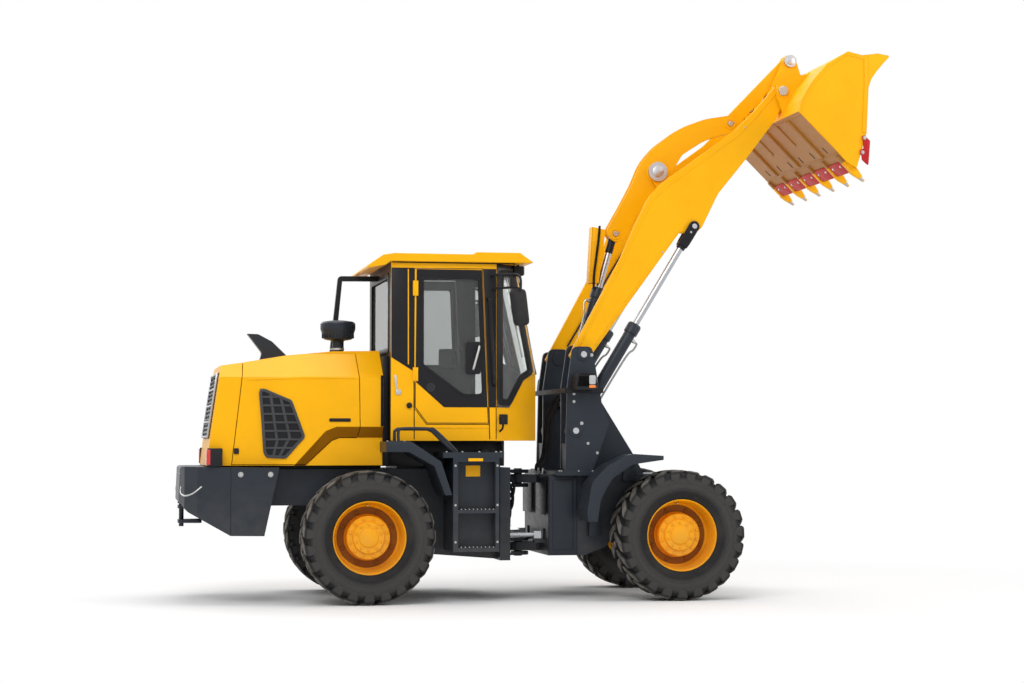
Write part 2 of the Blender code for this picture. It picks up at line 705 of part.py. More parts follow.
def mirror(side_name, side):
    y = side * 0.95
    head = box((-0.025, -0.10, -0.155), (0.025, 0.10, 0.155))
    turn = Matrix.Rotation(math.radians(50.0 * side), 4, "Z")
    lean = Matrix.Rotation(math.radians(-7.0), 4, "Y")
    head.data.transform(Matrix.Translation((1.232, y, 2.415)) @ lean @ turn)
    arm = pipe([(1.045, side * 0.7055, 2.690), (1.045, side * 0.76, 2.690),
                (1.210, side * 0.90, 2.688), (1.235, y, 2.640), (1.228, y, 2.480)], 0.011)
    part(f"mirror_{side_name}", combine(arm, unions=[head]), "black_plastic")


# ---------------------------------------------------------------- front frame
FRONT_BODY = [(1.562, 0.361), (1.877, 0.361), (2.063, 0.433), (2.24, 0.7125), (2.84, 0.7125),
              (2.88, 0.80), (2.78, 1.040), (1.562, 1.040)]
OUTER_TOWER = [(1.685, 1.05), (1.704, 1.783), (1.749, 2.113, 0.045), (1.916, 2.113, 0.045),
               (1.999, 1.643), (2.066, 1.466), (1.915, 1.05)]
INNER_TOWER = [(1.694, 1.02), (1.700, 1.785), (1.752, 2.130, 0.045), (1.916, 2.130, 0.045),
               (1.975, 1.800), (2.052, 1.647), (2.327, 1.208), (2.43, 1.02)]
TILT_BRACKET = [(1.800, 1.62), (1.960, 1.62), (1.955, 1.90, 0.04), (1.845, 1.94, 0.03)]


def front_frame(body):
    base = plate(FRONT_BODY, -0.50, 0.50)
    joined = [box((1.606, -0.61, 1.030), (1.950, 0.61, 1.066)),
              cross_rod((1.86, 1.66), -0.37, 0.37, 0.06)]
    for _, side in SIDES:
        for outline, span in ((OUTER_TOWER, TOWER_OUTER_Y), (INNER_TOWER, TOWER_INNER_Y),
                              (TILT_BRACKET, (0.054, 0.079))):
            low, high = sorted((side * span[0], side * span[1]))
            joined.append(plate(outline, low, high))
        for pivot in (BOOM_PIVOT, LIFT_BASE):
            low, high = sorted((side * 0.365, side * 0.612))
            joined.append(cross_rod(pivot, low, high, PIN_RADIUS))
    for z_low, z_high in FRONT_LUGS:
        joined.append(lug(FRONT_BODY[0][0] + 0.01, z_low, z_high))
    for _, side in SIDES:
        x, y = STEER_EYE
        joined.append(box((x - 0.03, side * y - 0.04, STEER_CYLINDER_Z - 0.068),
                          (1.58, side * y + 0.04, STEER_CYLINDER_Z - 0.040)))
    cuts = [rod((STEER_PIVOT_X, 0, 0.30), (STEER_PIVOT_X, 0, 1.20), BORE_RADIUS),
            cross_rod(TILT_BASE, -0.10, 0.10, 0.034)]
    for _, side in SIDES:
        x, y = STEER_EYE
        cuts.append(rod((x, side * y, STEER_CYLINDER_Z - 0.040),
                        (x, side * y, STEER_CYLINDER_Z + 0.050), 0.085, 20))
    part("front_frame", combine(base, unions=joined, cuts=cuts), "slate_paint", body)


def front_fender(side_name, side, body):
    low, high = sorted((side * 0.6105, side * 0.95))
    outline = [(2.440, 1.196), (2.179, 1.212, 0.10), (1.958, 1.110, 0.10), (1.835, 0.970, 0.10),
               (1.793, 0.760, 0.03), (1.802, 0.66), (1.880, 0.66), (1.905, 0.840, 0.08),
               (2.005, 1.010, 0.08), (2.185, 1.130, 0.08), (2.440, 1.165)]
    part(f"front_fender_{side_name}", plate(outline, low, high), "slate_paint", body)


def light_bar(body):
    base = box((1.669, -0.66, 1.722), (1.6925, 0.66, 1.762))
    joined = []
    for _, side in SIDES:
        low, high = sorted((side * 0.632, side * 0.66))
        joined.append(box((1.675, low, 1.722), (2.000, high, 1.762)))
        low, high = sorted((side * 0.6053, side * 0.64))
        joined.append(box((1.730, low, 1.725), (1.790, high, 1.759)))
        low, high = sorted((side * 0.61, side * 0.80))
        joined.append(plate([(1.730, 1.745), (1.904, 1.745), (1.914, 1.79), (1.904, 1.885, 0.03),
                             (1.745, 1.885, 0.03)], low, high))
    part("light_bar", combine(base, unions=joined), "black_plastic", body)


# ---------------------------------------------------------------- boom and linkage
BOOM_PLATE = [
    (1.745, 2.040, 0.0), (1.785, 2.120), (2.183, 2.854), (2.329, 3.178), (2.442, 3.398, 0.30),
    (2.555, 3.521, 0.30), (3.204, 3.986, 0.10), (3.369, 4.148), (3.570, 4.380),
    (3.629, 4.408, 0.05), (3.694, 4.340, 0.05), (3.571, 4.094), (3.309, 3.751),
    (3.053, 3.439, 0.30), (2.910, 3.150, 0.05), (2.840, 3.085, 0.04), (2.708, 3.098),
    (2.545, 2.878), (1.955, 2.075), (1.900, 1.975, 0.04), (1.800, 1.955, 0.05)]
BELLCRANK = [
    (2.165, 3.130, 0.07), (2.255, 3.035, 0.07), (2.345, 3.090, 0.06), (2.446, 3.291),
    (2.759, 3.659, 0.20), (2.860, 3.829, 0.10), (3.088, 3.977, 0.60), (3.310, 4.040, 0.07),
    (3.370, 4.120, 0.06), (3.310, 4.195, 0.07), (3.071, 4.154, 0.60), (2.842, 4.067, 0.60),
    (2.615, 3.902, 0.50), (2.488, 3.758, 0.50), (2.406, 3.562, 0.50), (2.297, 3.358)]


def boom_outline():
    return [(x, z) if not more or more[0] == 0.0 else (x, z, more[0])
            for x, z, *more in BOOM_PLATE]


def boom(body):
    joined = []
    base = cross_rod(CROSS_TUBE, -0.48, 0.48, 0.085, 20)
    cuts = []
    for _, side in SIDES:
        low, high = sorted((side * BOOM_Y[0], side * BOOM_Y[1]))
        joined.append(plate(boom_outline(), low, high))
        for pivot, radius in ((BOOM_PIVOT, 0.070), (BUCKET_PIVOT, 0.060)):
            low, high = sorted((side * 0.448, side * 0.512))
            joined.append(cross_rod(pivot, low, high, radius, 16))
        low, high = sorted((side * 0.070, side * 0.095))
        joined.append(plate(hull_of_circles(CROSS_TUBE, 0.10, BELLCRANK_PIVOT, 0.075),
                            low, high))
        low, high = sorted((side * 0.42, side * 0.55))
        cuts.append(cross_rod(BOOM_PIVOT, low, high, BORE_RADIUS))
    for side in (-1, 1):
        low, high = sorted((side * 0.42, side * 0.55))
        cuts.append(cross_rod(BUCKET_PIVOT, low, high, BORE_RADIUS))
    cuts.append(cross_rod(BELLCRANK_PIVOT, -0.11, 0.11, BORE_RADIUS))
    part("boom", combine(base, unions=joined, cuts=cuts), "yellow_paint", body)


def capped_pin(point, radius, half_span, cap_radius, cap_thickness):
    """A cross pin with a round cap outside the plates at each end."""
    tip = half_span + cap_thickness
    caps = []
    for _, side in SIDES:
        low, high = sorted((side * half_span, side * tip))
        caps.append(cross_rod(point, low, high, cap_radius, 20))
    return combine(cross_rod(point, -tip + 0.002, tip - 0.002, radius, 20), unions=caps)


def bellcrank(pin_body, body):
    part("bellcrank_pin", capped_pin(BELLCRANK_PIVOT, PIN_RADIUS, 0.0955, 0.085, 0.025),
         "steel", pin_body)
    base = cross_rod(BELLCRANK_PIVOT, -BELLCRANK_Y[1], BELLCRANK_Y[1], 0.090, 20)
    plates = []
    for _, side in SIDES:
        low, high = sorted((side * BELLCRANK_Y[0], side * BELLCRANK_Y[1]))
        plates.append(plate(BELLCRANK, low, high))
    bore = cross_rod(BELLCRANK_PIVOT, -0.10, 0.10, BORE_RADIUS)
    part("bellcrank", combine(base, unions=plates, cuts=[bore]), "yellow_paint", body)


def bucket_link(pin_body, body):
    part("link_pin", capped_pin(LINK_PIVOT, 0.028, 0.0605, 0.055, 0.025), "steel", pin_body)
    bar = plate(hull_of_circles(BELLCRANK_UPPER_EYE, 0.058, LINK_PIVOT, 0.055), -0.026, 0.026)
    bores = [cross_rod(BELLCRANK_UPPER_EYE, -0.05, 0.05, 0.034),
             cross_rod(LINK_PIVOT, -0.05, 0.05, 0.034)]
    part("bucket_link", combine(bar, cuts=bores), "yellow_paint", body)


# ---------------------------------------------------------------- bucket
# Outer line of the folded sheet from the cutting lip round the heel to the top lip.
BUCKET_SHEET = [(4.034, 3.690), (3.620, 4.095), (3.650, 4.200), (3.739, 4.350), (3.877, 4.510),
                (4.066, 4.625), (4.248, 4.585)]
BUCKET_SIDE = [(4.034, 3.690), (3.620, 4.095), (3.650, 4.200), (3.739, 4.350), (3.877, 4.510),
               (4.066, 4.625), (4.248, 4.585), (4.250, 4.366), (4.227, 3.929), (4.135, 3.629)]
BUCKET_SKIN = 0.020
GUARD_LINE = [(4.205, 4.6025), (4.330, 4.618), (4.430, 4.603)]
GUARD_END = [(4.222, 4.599), (4.330, 4.617), (4.430, 4.602), (4.436, 4.588), (4.380, 4.530),
             (4.320, 4.460), (4.275, 4.395), (4.252, 4.330), (4.222, 4.330)]
OUTER_EAR = [(3.577, 4.395), (3.577, 4.285), (3.640, 4.115), (3.700, 4.260), (3.900, 4.500),
             (3.740, 4.480)]
CENTRE_EAR = [(3.640, 4.150), (3.700, 4.250), (3.960, 4.560), (3.905, 4.735, 0.03),
              (3.820, 4.750, 0.03), (3.790, 4.690), (3.620, 4.330)]


def inset_line(points, amount):
    """The same open line moved sideways, to its right as it runs."""
    moved = []
    for index, point in enumerate(points):
        here = Vector(point)
        directions = []
        if index:
            directions.append((here - Vector(points[index - 1])).normalized())
        if index + 1 < len(points):
            directions.append((Vector(points[index + 1]) - here).normalized())
        heading = sum(directions, Vector((0.0, 0.0))).normalized()
        aside = Vector((heading.y, -heading.x))
        share = aside.dot(Vector((directions[0].y, -directions[0].x)))
        moved.append(here + aside * (amount / share))
    return moved


def sheet(points, thickness, y_low, y_high):
    """A folded sheet whose outer line is given and whose thickness lies to its right."""
    inner = inset_line(points, thickness)
    return plate([tuple(p) for p in points] + [tuple(p) for p in reversed(inner)],
                 y_low, y_high)


def bucket(pin_body, body):
    low_y, high_y = -BUCKET_HALF_WIDTH, BUCKET_HALF_WIDTH
    base = sheet(BUCKET_SHEET, BUCKET_SKIN, low_y + 0.005, high_y - 0.005)
    joined = []
    for side_name, side in SIDES:
        low, high = sorted((side * (BUCKET_HALF_WIDTH - BUCKET_SKIN), side * BUCKET_HALF_WIDTH))
        joined.append(plate(BUCKET_SIDE, low, high))
        for span in ((0.410, 0.435), (0.525, 0.550)):
            low, high = sorted((side * span[0], side * span[1]))
            joined.append(plate(OUTER_EAR, low, high))
        low, high = sorted((side * 0.035, side * 0.060))
        joined.append(plate(CENTRE_EAR, low, high))
        low, high = sorted((side * 0.400, side * 0.560))
        part(f"bucket_pin_{side_name}", cross_rod(BUCKET_PIVOT, low, high, PIN_RADIUS, 20),
             "steel", pin_body)
    joined.append(sheet(GUARD_LINE, 0.012, -0.945, 0.945))
    for _, side in SIDES:
        low, high = sorted((side * 0.940, side * 0.967))
        joined.append(plate(GUARD_END, low, high))
    bores = [cross_rod(BUCKET_PIVOT, -0.60, -0.38, BORE_RADIUS),
             cross_rod(BUCKET_PIVOT, 0.38, 0.60, BORE_RADIUS),
             cross_rod(LINK_PIVOT, -0.07, 0.07, 0.034)]
    part("bucket", combine(base, unions=joined, cuts=bores), "yellow_paint", body)


LIP_DIRECTION = (Vector((4.034, 3.690)) - Vector((3.620, 4.095))).normalized()
TOOTH_COUNT = 6
TOOTH_UPPER = 0.0223


def cutting_edge(body):
    """The lip plate bolted under the floor's front, with its teeth and edge pieces."""
    along = LIP_DIRECTION
    inward = Vector((-along.y, along.x))
    lip = Vector((4.034, 3.690))

    def beside(distance, depth):
        spot = lip + along * distance + inward * depth
        return (spot.x, spot.y)

    base = plate([beside(0.004, 0.0), beside(0.110, 0.0), beside(0.125, 0.012),
                  beside(0.110, 0.020), beside(0.004, 0.020)], -0.9497, 0.9497)
    teeth = []
    for index in range(TOOTH_COUNT):
        y = -0.918 + index * 1.836 / (TOOTH_COUNT - 1)
        teeth.append(plate([beside(-0.070, -TOOTH_UPPER), beside(0.120, -TOOTH_UPPER),
                            beside(0.245, 0.004), beside(0.245, 0.014), beside(0.130, 0.040),
                            beside(0.020, 0.040), beside(0.020, -CONTACT_GAP),
                            beside(-0.070, -CONTACT_GAP)],
                           y - 0.019, y + 0.019))
    part("cutting_edge", combine(base, unions=teeth), "yellow_paint", body)


# ---------------------------------------------------------------- hydraulic cylinders
def pointing(start, end):
    """Rotation that turns +Z from one pivot towards another in the machine's side view."""
    return (0.0, math.atan2(end[0] - start[0], end[1] - start[1]), 0.0)


def cylinder_barrel(eye_radius, eye_half_width, bore, radius, length, pin_hole):
    """Barrel standing on +Z from its base eye, with an open bore for the rod."""
    base = rod((0, 0, eye_radius * 0.6), (0, 0, length), radius, 12)
    eye = rod((0, -eye_half_width, 0), (0, eye_half_width, 0), eye_radius, 12)
    collar = rod((0, 0, length - 0.085), (0, 0, length + 0.004), radius * 1.22, 12)
    hollow = rod((0, 0, eye_radius + 0.05), (0, 0, length + 0.05), bore, 12)
    hole = rod((0, -0.2, 0), (0, 0.2, 0), pin_hole, 12)
    return combine(base, unions=[eye, collar], cuts=[hollow, hole])


def fork_end(length, rod_radius, start, throat, half_gap, tine, half_height, eye_hole):
    """Rod along +Z with a forked end whose eye is at the given length."""
    crown = length - throat
    base = rod((0, 0, start), (0, 0, crown + 0.01), rod_radius, 12)
    block = box((-half_height, -half_gap - tine, crown),
                (half_height, half_gap + tine, length))
    tip = rod((0, -half_gap - tine, length), (0, half_gap + tine, length), half_height, 12)
    slot = box((-0.2, -half_gap, crown + 0.035), (0.2, half_gap, length + 0.2))
    hole = rod((0, -0.2, length), (0, 0.2, length), eye_hole, 12)
    return combine(base, unions=[block, tip], cuts=[slot, hole])


def lift_cylinder(side_name, side, front):
    y = side * 0.48
    barrel_body = Body(f"lift_cylinder_{side_name}_pivot", on_plane(LIFT_BASE, y), front)
    rod_body = Body(f"lift_rod_{side_name}_slide", on_plane(LIFT_BASE, y), barrel_body)
    turn = pointing(LIFT_BASE, LIFT_EYE)
    length = (Vector(LIFT_EYE) - Vector(LIFT_BASE)).length
    part(f"lift_cylinder_{side_name}",
         cylinder_barrel(0.062, 0.045, 0.032, 0.050, 1.055, 0.042), "slate_paint",
         barrel_body, on_plane(LIFT_BASE, y), turn)
    part(f"lift_rod_{side_name}",
         fork_end(length, 0.0275, length - 1.13, 0.200, 0.030, 0.018, 0.046, 0.022), "chrome",
         rod_body, on_plane(LIFT_BASE, y), turn)


def tilt_cylinder(front):
    pin_body = Body("tilt_pin_pivot", on_plane(TILT_BASE), front)
    barrel_body = Body("tilt_cylinder_pivot", on_plane(TILT_BASE), pin_body)
    rod_body = Body("tilt_rod_slide", on_plane(TILT_BASE), barrel_body)
    turn = pointing(TILT_BASE, BELLCRANK_LOWER_EYE)
    length = (Vector(BELLCRANK_LOWER_EYE) - Vector(TILT_BASE)).length
    part("tilt_pin", capped_pin(TILT_BASE, 0.028, 0.0795, 0.060, 0.022), "steel", pin_body)
    part("tilt_cylinder", cylinder_barrel(0.055, 0.046, 0.032, 0.050, 0.800, 0.034),
         "slate_paint", barrel_body, on_plane(TILT_BASE), turn)
    stem = rod((0, 0, length - 0.78), (0, 0, length - 0.02), 0.0275, 12)
    sleeve = rod((0, 0, length - 0.17), (0, 0, length - 0.03), 0.034, 12)
    eye = rod((0, -0.026, length), (0, 0.026, length), 0.055, 20)
    hole = rod((0, -0.2, length), (0, 0.2, length), 0.024, 12)
    part("tilt_rod", combine(stem, unions=[sleeve, eye], cuts=[hole]), "chrome", rod_body,
         on_plane(TILT_BASE), turn)


def steering_cylinder(side_name, side):
    base = (STEER_BASE[0], side * STEER_BASE[1], STEER_CYLINDER_Z)
    eye = (STEER_EYE[0], side * STEER_EYE[1], STEER_CYLINDER_Z)
    barrel_body = Body(f"steer_cylinder_{side_name}_pivot", base, machine)
    rod_body = Body(f"steer_rod_{side_name}_slide", base, barrel_body)
    length = (Vector(eye) - Vector(base)).length
    turn = (Vector(eye) - Vector(base)).to_track_quat("Z", "Y").to_euler()
    barrel = rod((0, 0, 0.02), (0, 0, 0.40), 0.036, 12)
    lug_end = box((-0.03, -0.03, -0.032), (0.03, 0.03, 0.03))
    hollow = rod((0, 0, 0.07), (0, 0, 0.50), 0.023, 12)
    hole = rod((0, 0, -0.2), (0, 0, 0.2), 0.022, 12)
    hole.data.transform(Matrix.Rotation(math.pi / 2, 4, "X"))
    along_pin = turn_of_pin(turn)
    hole.data.transform(along_pin)
    part(f"steer_cylinder_{side_name}", combine(barrel, unions=[lug_end], cuts=[hollow, hole]),
         "slate_paint", barrel_body, base, turn)
    stem = rod((0, 0, length - 0.42), (0, 0, length - 0.01), 0.018, 12)
    tip = box((-0.03, -0.03, length - 0.03), (0.03, 0.03, length + 0.03))
    part(f"steer_rod_{side_name}", combine(stem, unions=[tip]), "chrome", rod_body, base, turn)


def turn_of_pin(turn):
    """Lays a shape along Y of a steering cylinder's own frame, which is the pin's line."""
    world_up = turn.to_matrix().inverted() @ Vector((0.0, 0.0, 1.0))
    return Vector((0.0, 1.0, 0.0)).rotation_difference(world_up).to_matrix().to_4x4()


# ---------------------------------------------------------------- the machine
def build():
    rear_chassis()
    counterweight()
    engine()
    hood()
    rear_grille()
    exhaust_fin()
    precleaner()
    cab()
    cab_roof()
    windscreen()
    rear_window()
    seat()
    cab_interior()
    axle("rear_axle", 0.0, machine)
    front = Body("steering_pivot", (STEER_PIVOT_X, 0.0, 0.0), machine)
    axle("front_axle", WHEELBASE, front)
    front_frame(front)
    light_bar(front)
    for side_name, side in SIDES:
        tank_box(side_name, side)
        rear_fender(side_name, side)
        mirror(side_name, side)
        cab_door(side_name, side)
        hood_door(side_name, side)
        steering_cylinder(side_name, side)
        front_fender(side_name, side, front)
        lift_cylinder(side_name, side, front)
        for place, axle_x, carrier in (("rear", 0.0, machine), ("front", WHEELBASE, front)):
            hub = Body(f"{place}_wheel_{side_name}_axis",
                       (axle_x, side * HALF_TRACK, TYRE_RADIUS), carrier)
            wheel(place, axle_x, side_name, side, hub)
    tilt_cylinder(front)
    boom_body = Body("boom_pivot", on_plane(BOOM_PIVOT), front)
    boom(boom_body)
    crank_pin = Body("bellcrank_pin_pivot", on_plane(BELLCRANK_PIVOT), boom_body)
    bellcrank(crank_pin, Body("bellcrank_pivot", on_plane(BELLCRANK_PIVOT), crank_pin))
    level = Body("bucket_pin_pivot", on_plane(BUCKET_PIVOT), boom_body)
    bucket_body = Body("bucket_pivot", on_plane(BUCKET_PIVOT), level)
    bucket(level, bucket_body)
    cutting_edge(bucket_body)
    link_pin = Body("link_pin_pivot", on_plane(LINK_PIVOT), bucket_body)
    bucket_link(link_pin, Body("bucket_link_pivot", on_plane(LINK_PIVOT), link_pin))


build()
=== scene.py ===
"""Looks of a compact articulated wheel loader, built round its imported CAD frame.

Places are written in the machine's own frame: metres, x forward from the rear axle,
y to the machine's left, z up from the ground. P() moves them to the row's frame.
"""
import math

import bmesh
import bpy
from mathutils import Matrix, Vector


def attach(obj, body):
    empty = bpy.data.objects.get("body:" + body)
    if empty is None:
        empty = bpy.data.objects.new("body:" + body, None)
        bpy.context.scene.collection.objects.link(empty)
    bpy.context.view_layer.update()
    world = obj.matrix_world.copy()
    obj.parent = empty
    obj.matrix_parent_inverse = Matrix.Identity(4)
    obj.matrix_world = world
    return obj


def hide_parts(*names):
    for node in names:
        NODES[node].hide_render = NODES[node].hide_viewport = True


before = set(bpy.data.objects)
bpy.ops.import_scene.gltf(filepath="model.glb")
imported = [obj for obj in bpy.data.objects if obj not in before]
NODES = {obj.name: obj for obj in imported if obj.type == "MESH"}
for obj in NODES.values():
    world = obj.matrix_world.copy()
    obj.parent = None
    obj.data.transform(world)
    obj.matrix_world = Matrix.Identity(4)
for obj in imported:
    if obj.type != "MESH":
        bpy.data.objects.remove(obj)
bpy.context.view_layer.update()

OFFSET = 1.4667
SIDES = (("right", -1), ("left", 1))
HALF_TRACK = 0.775
TYRE_RADIUS = 0.54
AXLES = (("rear", 0.0), ("front", 2.60))
CROSS = Vector((0.0, 1.0, 0.0))

BOOM_PIVOT = (1.844, 2.046)
BUCKET_PIVOT = (3.629, 4.340)
BELLCRANK_PIVOT = (2.627, 3.671)
LOWER_EYE = (2.255, 3.123)
UPPER_EYE = (3.302, 4.120)
LINK_PIVOT = (3.857, 4.694)
LIFT_BASE = (1.775, 1.406)
LIFT_EYE = (2.836, 3.154)
TILT_BASE = (1.900, 1.880)


def P(x, y, z):
    return Vector((x - OFFSET, y, z))


# ---------------------------------------------------------------- camera, light, floor
def make_stage():
    camera = bpy.data.cameras.new("camera")
    camera.lens = 73.29
    camera.sensor_width = 36.0
    eye = bpy.data.objects.new("camera", camera)
    eye.location = (-3.5767, -17.66, 1.34)
    eye.rotation_euler = (math.radians(92.667), 0.0, math.radians(-11.082))
    bpy.context.scene.collection.objects.link(eye)
    bpy.context.scene.camera = eye
    bpy.context.scene.view_settings.view_transform = "Standard"
    for name, place, aim, size, watts in (
            ("key", (-5.0, -9.0, 9.5), (0.0, 0.0, 1.8), 7.0, 620.0),
            ("front", (8.5, -5.0, 6.0), (1.0, 0.0, 2.2), 5.0, 250.0),
            ("top", (0.0, 1.5, 10.0), (0.0, 0.0, 1.5), 8.0, 420.0),
            ("back", (-6.0, 8.0, 6.5), (0.0, 0.0, 1.8), 6.0, 260.0)):
        lamp = bpy.data.lights.new(name, "AREA")
        lamp.size = size
        lamp.energy = watts
        holder = bpy.data.objects.new(name, lamp)
        holder.location = place
        holder.rotation_euler = (Vector(aim) - Vector(place)).to_track_quat("-Z", "Y").to_euler()
        bpy.context.scene.collection.objects.link(holder)
    world = bpy.data.worlds.new("studio")
    bpy.context.scene.world = world
    world.use_nodes = True
    tree = world.node_tree
    shade = tree.nodes["Background"]
    path = tree.nodes.new("ShaderNodeLightPath")
    seen = tree.nodes.new("ShaderNodeMath")
    seen.operation = "MAXIMUM"
    tree.links.new(path.outputs["Is Camera Ray"], seen.inputs[0])
    tree.links.new(path.outputs["Is Transmission Ray"], seen.inputs[1])
    also = tree.nodes.new("ShaderNodeMath")
    also.operation = "MAXIMUM"
    tree.links.new(seen.outputs[0], also.inputs[0])
    tree.links.new(path.outputs["Is Glossy Ray"], also.inputs[1])
    level = tree.nodes.new("ShaderNodeMapRange")
    level.inputs["To Min"].default_value = 0.55
    level.inputs["To Max"].default_value = 1.0
    tree.links.new(also.outputs[0], level.inputs["Value"])
    tree.links.new(level.outputs[0], shade.inputs["Strength"])
    shade.inputs["Color"].default_value = (1.0, 1.0, 1.0, 1.0)

    bm = bmesh.new()
    bmesh.ops.create_circle(bm, cap_ends=True, segments=96, radius=60.0)
    mesh = bpy.data.meshes.new("floor")
    bm.to_mesh(mesh)
    bm.free()
    floor = bpy.data.objects.new("floor", mesh)
    bpy.context.scene.collection.objects.link(floor)
    made = bpy.data.materials.new("floor")
    made.use_nodes = True
    tree = made.node_tree
    tree.nodes.clear()
    out = tree.nodes.new("ShaderNodeOutputMaterial")
    mix = tree.nodes.new("ShaderNodeMixShader")
    diffuse = tree.nodes.new("ShaderNodeBsdfDiffuse")
    diffuse.inputs["Color"].default_value = (0.90, 0.90, 0.90, 1.0)
    glow = tree.nodes.new("ShaderNodeEmission")
    place = tree.nodes.new("ShaderNodeNewGeometry")
    far = tree.nodes.new("ShaderNodeVectorMath")
    far.operation = "LENGTH"
    fade = tree.nodes.new("ShaderNodeMapRange")
    fade.interpolation_type = "SMOOTHSTEP"
    fade.inputs["From Min"].default_value = 2.6
    fade.inputs["From Max"].default_value = 6.5
    path = tree.nodes.new("ShaderNodeLightPath")
    seen = tree.nodes.new("ShaderNodeMath")
    seen.operation = "MAXIMUM"
    also = tree.nodes.new("ShaderNodeMath")
    also.operation = "MAXIMUM"
    gate = tree.nodes.new("ShaderNodeMath")
    gate.operation = "MULTIPLY"
    tree.links.new(place.outputs["Position"], far.inputs[0])
    tree.links.new(far.outputs["Value"], fade.inputs["Value"])
    tree.links.new(path.outputs["Is Camera Ray"], seen.inputs[0])
    tree.links.new(path.outputs["Is Glossy Ray"], seen.inputs[1])
    tree.links.new(seen.outputs[0], also.inputs[0])
    tree.links.new(path.outputs["Is Transmission Ray"], also.inputs[1])
    tree.links.new(also.outputs[0], gate.inputs[0])
    tree.links.new(fade.outputs[0], gate.inputs[1])
    tree.links.new(gate.outputs[0], mix.inputs[0])
    tree.links.new(diffuse.outputs[0], mix.inputs[1])
    tree.links.new(glow.outputs[0], mix.inputs[2])
    tree.links.new(mix.outputs[0], out.inputs["Surface"])
    mesh.materials.append(made)


make_stage()


# ---------------------------------------------------------------- materials
class Shader:
    """A Principled material with short helpers for its nodes."""

    def __init__(self, name, colour, roughness, metallic=0.0, coat=0.0, transmission=0.0,
                 specular=0.5):
        self.material = bpy.data.materials.new(name)
        self.material.use_nodes = True
        self.tree = self.material.node_tree
        self.shader = self.tree.nodes["Principled BSDF"]
        self.shader.inputs["Base Color"].default_value = (*colour, 1.0)
        self.shader.inputs["Roughness"].default_value = roughness
        self.shader.inputs["Metallic"].default_value = metallic
        self.shader.inputs["Specular IOR Level"].default_value = specular
        self.shader.inputs["Coat Weight"].default_value = coat
        self.shader.inputs["Coat Roughness"].default_value = 0.12
        self.shader.inputs["Transmission Weight"].default_value = transmission
        self.colour = colour
        self.place = self.node("ShaderNodeTexCoord").outputs["Object"]
        self.normal = None

    def node(self, kind, **values):
        made = self.tree.nodes.new(kind)
        for key, value in values.items():
            setattr(made, key, value)
        return made

    def link(self, source, target):
        self.tree.links.new(source, target)

    def noise(self, scale, detail=4.0, roughness=0.55):
        made = self.node("ShaderNodeTexNoise")
        made.inputs["Scale"].default_value = scale
        made.inputs["Detail"].default_value = detail
        made.inputs["Roughness"].default_value = roughness
        self.link(self.place, made.inputs["Vector"])
        return made.outputs["Fac"]

    def spread(self, value, low, high, from_low=0.3, from_high=0.7):
        made = self.node("ShaderNodeMapRange")
        made.inputs["From Min"].default_value = from_low
        made.inputs["From Max"].default_value = from_high
        made.inputs["To Min"].default_value = low
        made.inputs["To Max"].default_value = high
        self.link(value, made.inputs["Value"])
        return made.outputs[0]

    def mix(self, factor, first, second):
        made = self.node("ShaderNodeMix", data_type="RGBA")
        if isinstance(factor, float):
            made.inputs[0].default_value = factor
        else:
            self.link(factor, made.inputs[0])
        for socket, value in ((made.inputs[6], first), (made.inputs[7], second)):
            if isinstance(value, tuple):
                socket.default_value = (*value, 1.0)
            else:
                self.link(value, socket)
        return made.outputs[2]

    def mottle(self, scale=2.5, amount=0.06):
        """Slight unevenness of the colour."""
        dark = tuple(c * (1.0 - amount) for c in self.colour)
        light = tuple(min(1.0, c * (1.0 + amount)) for c in self.colour)
        return self.mix(self.spread(self.noise(scale), 0.0, 1.0), dark, light)

    def math(self, operation, first, second):
        made = self.node("ShaderNodeMath", operation=operation)
        for socket, value in zip(made.inputs, (first, second)):
            if isinstance(value, float):
                socket.default_value = value
            else:
                self.link(value, socket)
        return made.outputs[0]

    def axis(self, name):
        made = self.node("ShaderNodeSeparateXYZ")
        self.link(self.place, made.inputs[0])
        return made.outputs[name]

    def bump(self, height, strength, distance):
        made = self.node("ShaderNodeBump")
        made.inputs["Strength"].default_value = strength
        made.inputs["Distance"].default_value = distance
        self.link(height, made.inputs["Height"])
        if self.normal is not None:
            self.link(self.normal, made.inputs["Normal"])
        self.normal = made.outputs["Normal"]
        return self

    def rounded(self, radius):
        made = self.node("ShaderNodeBevel", samples=4)
        made.inputs["Radius"].default_value = radius
        self.normal = made.outputs["Normal"]
        return self

    def finish(self, colour=None, roughness=None):
        if colour is not None:
            self.link(colour, self.shader.inputs["Base Color"])
        if roughness is not None:
            self.link(roughness, self.shader.inputs["Roughness"])
        if self.normal is not None:
            self.link(self.normal, self.shader.inputs["Normal"])
        return self.material


DUST = (0.30, 0.25, 0.19)


def paint(name, colour, roughness=0.36, coat=0.06, dust_top=0.0, dust=0.0, amount=0.05,
          mask=None, under=(0.014, 0.015, 0.017), specular=0.16):
    """Sprayed paint: orange peel, uneven gloss and dust that thins out upwards."""
    made = Shader(name, colour, roughness, coat=coat, specular=specular)
    tint = made.mottle(1.6, amount)
    grime = made.spread(made.noise(7.0, 6.0), 0.0, 1.0, 0.52, 0.80)
    tint = made.mix(made.math("MULTIPLY", grime, 0.10), tint, tuple(c * 0.55 for c in colour))
    if dust:
        height = made.spread(made.axis("Z"), 1.0, 0.0, 0.25, dust_top)
        cover = made.math("MULTIPLY", height, made.spread(made.noise(11.0, 8.0), 0.2, 1.0))
        tint = made.mix(made.math("MULTIPLY", cover, dust), tint, DUST)
    # Inside the mask the under colour is laid on: black two-tone paint on the cab, painted shade on
    # the hood's slope, a worn brown on the bucket's floor.
    if mask is not None:
        tint = made.mix(mask(made), tint, under)
    rough = made.spread(made.noise(24.0, 5.0), roughness - 0.06, roughness + 0.08)
    made.rounded(0.004).bump(made.noise(420.0, 2.0), 0.06, 0.0006)
    return made.finish(tint, rough)


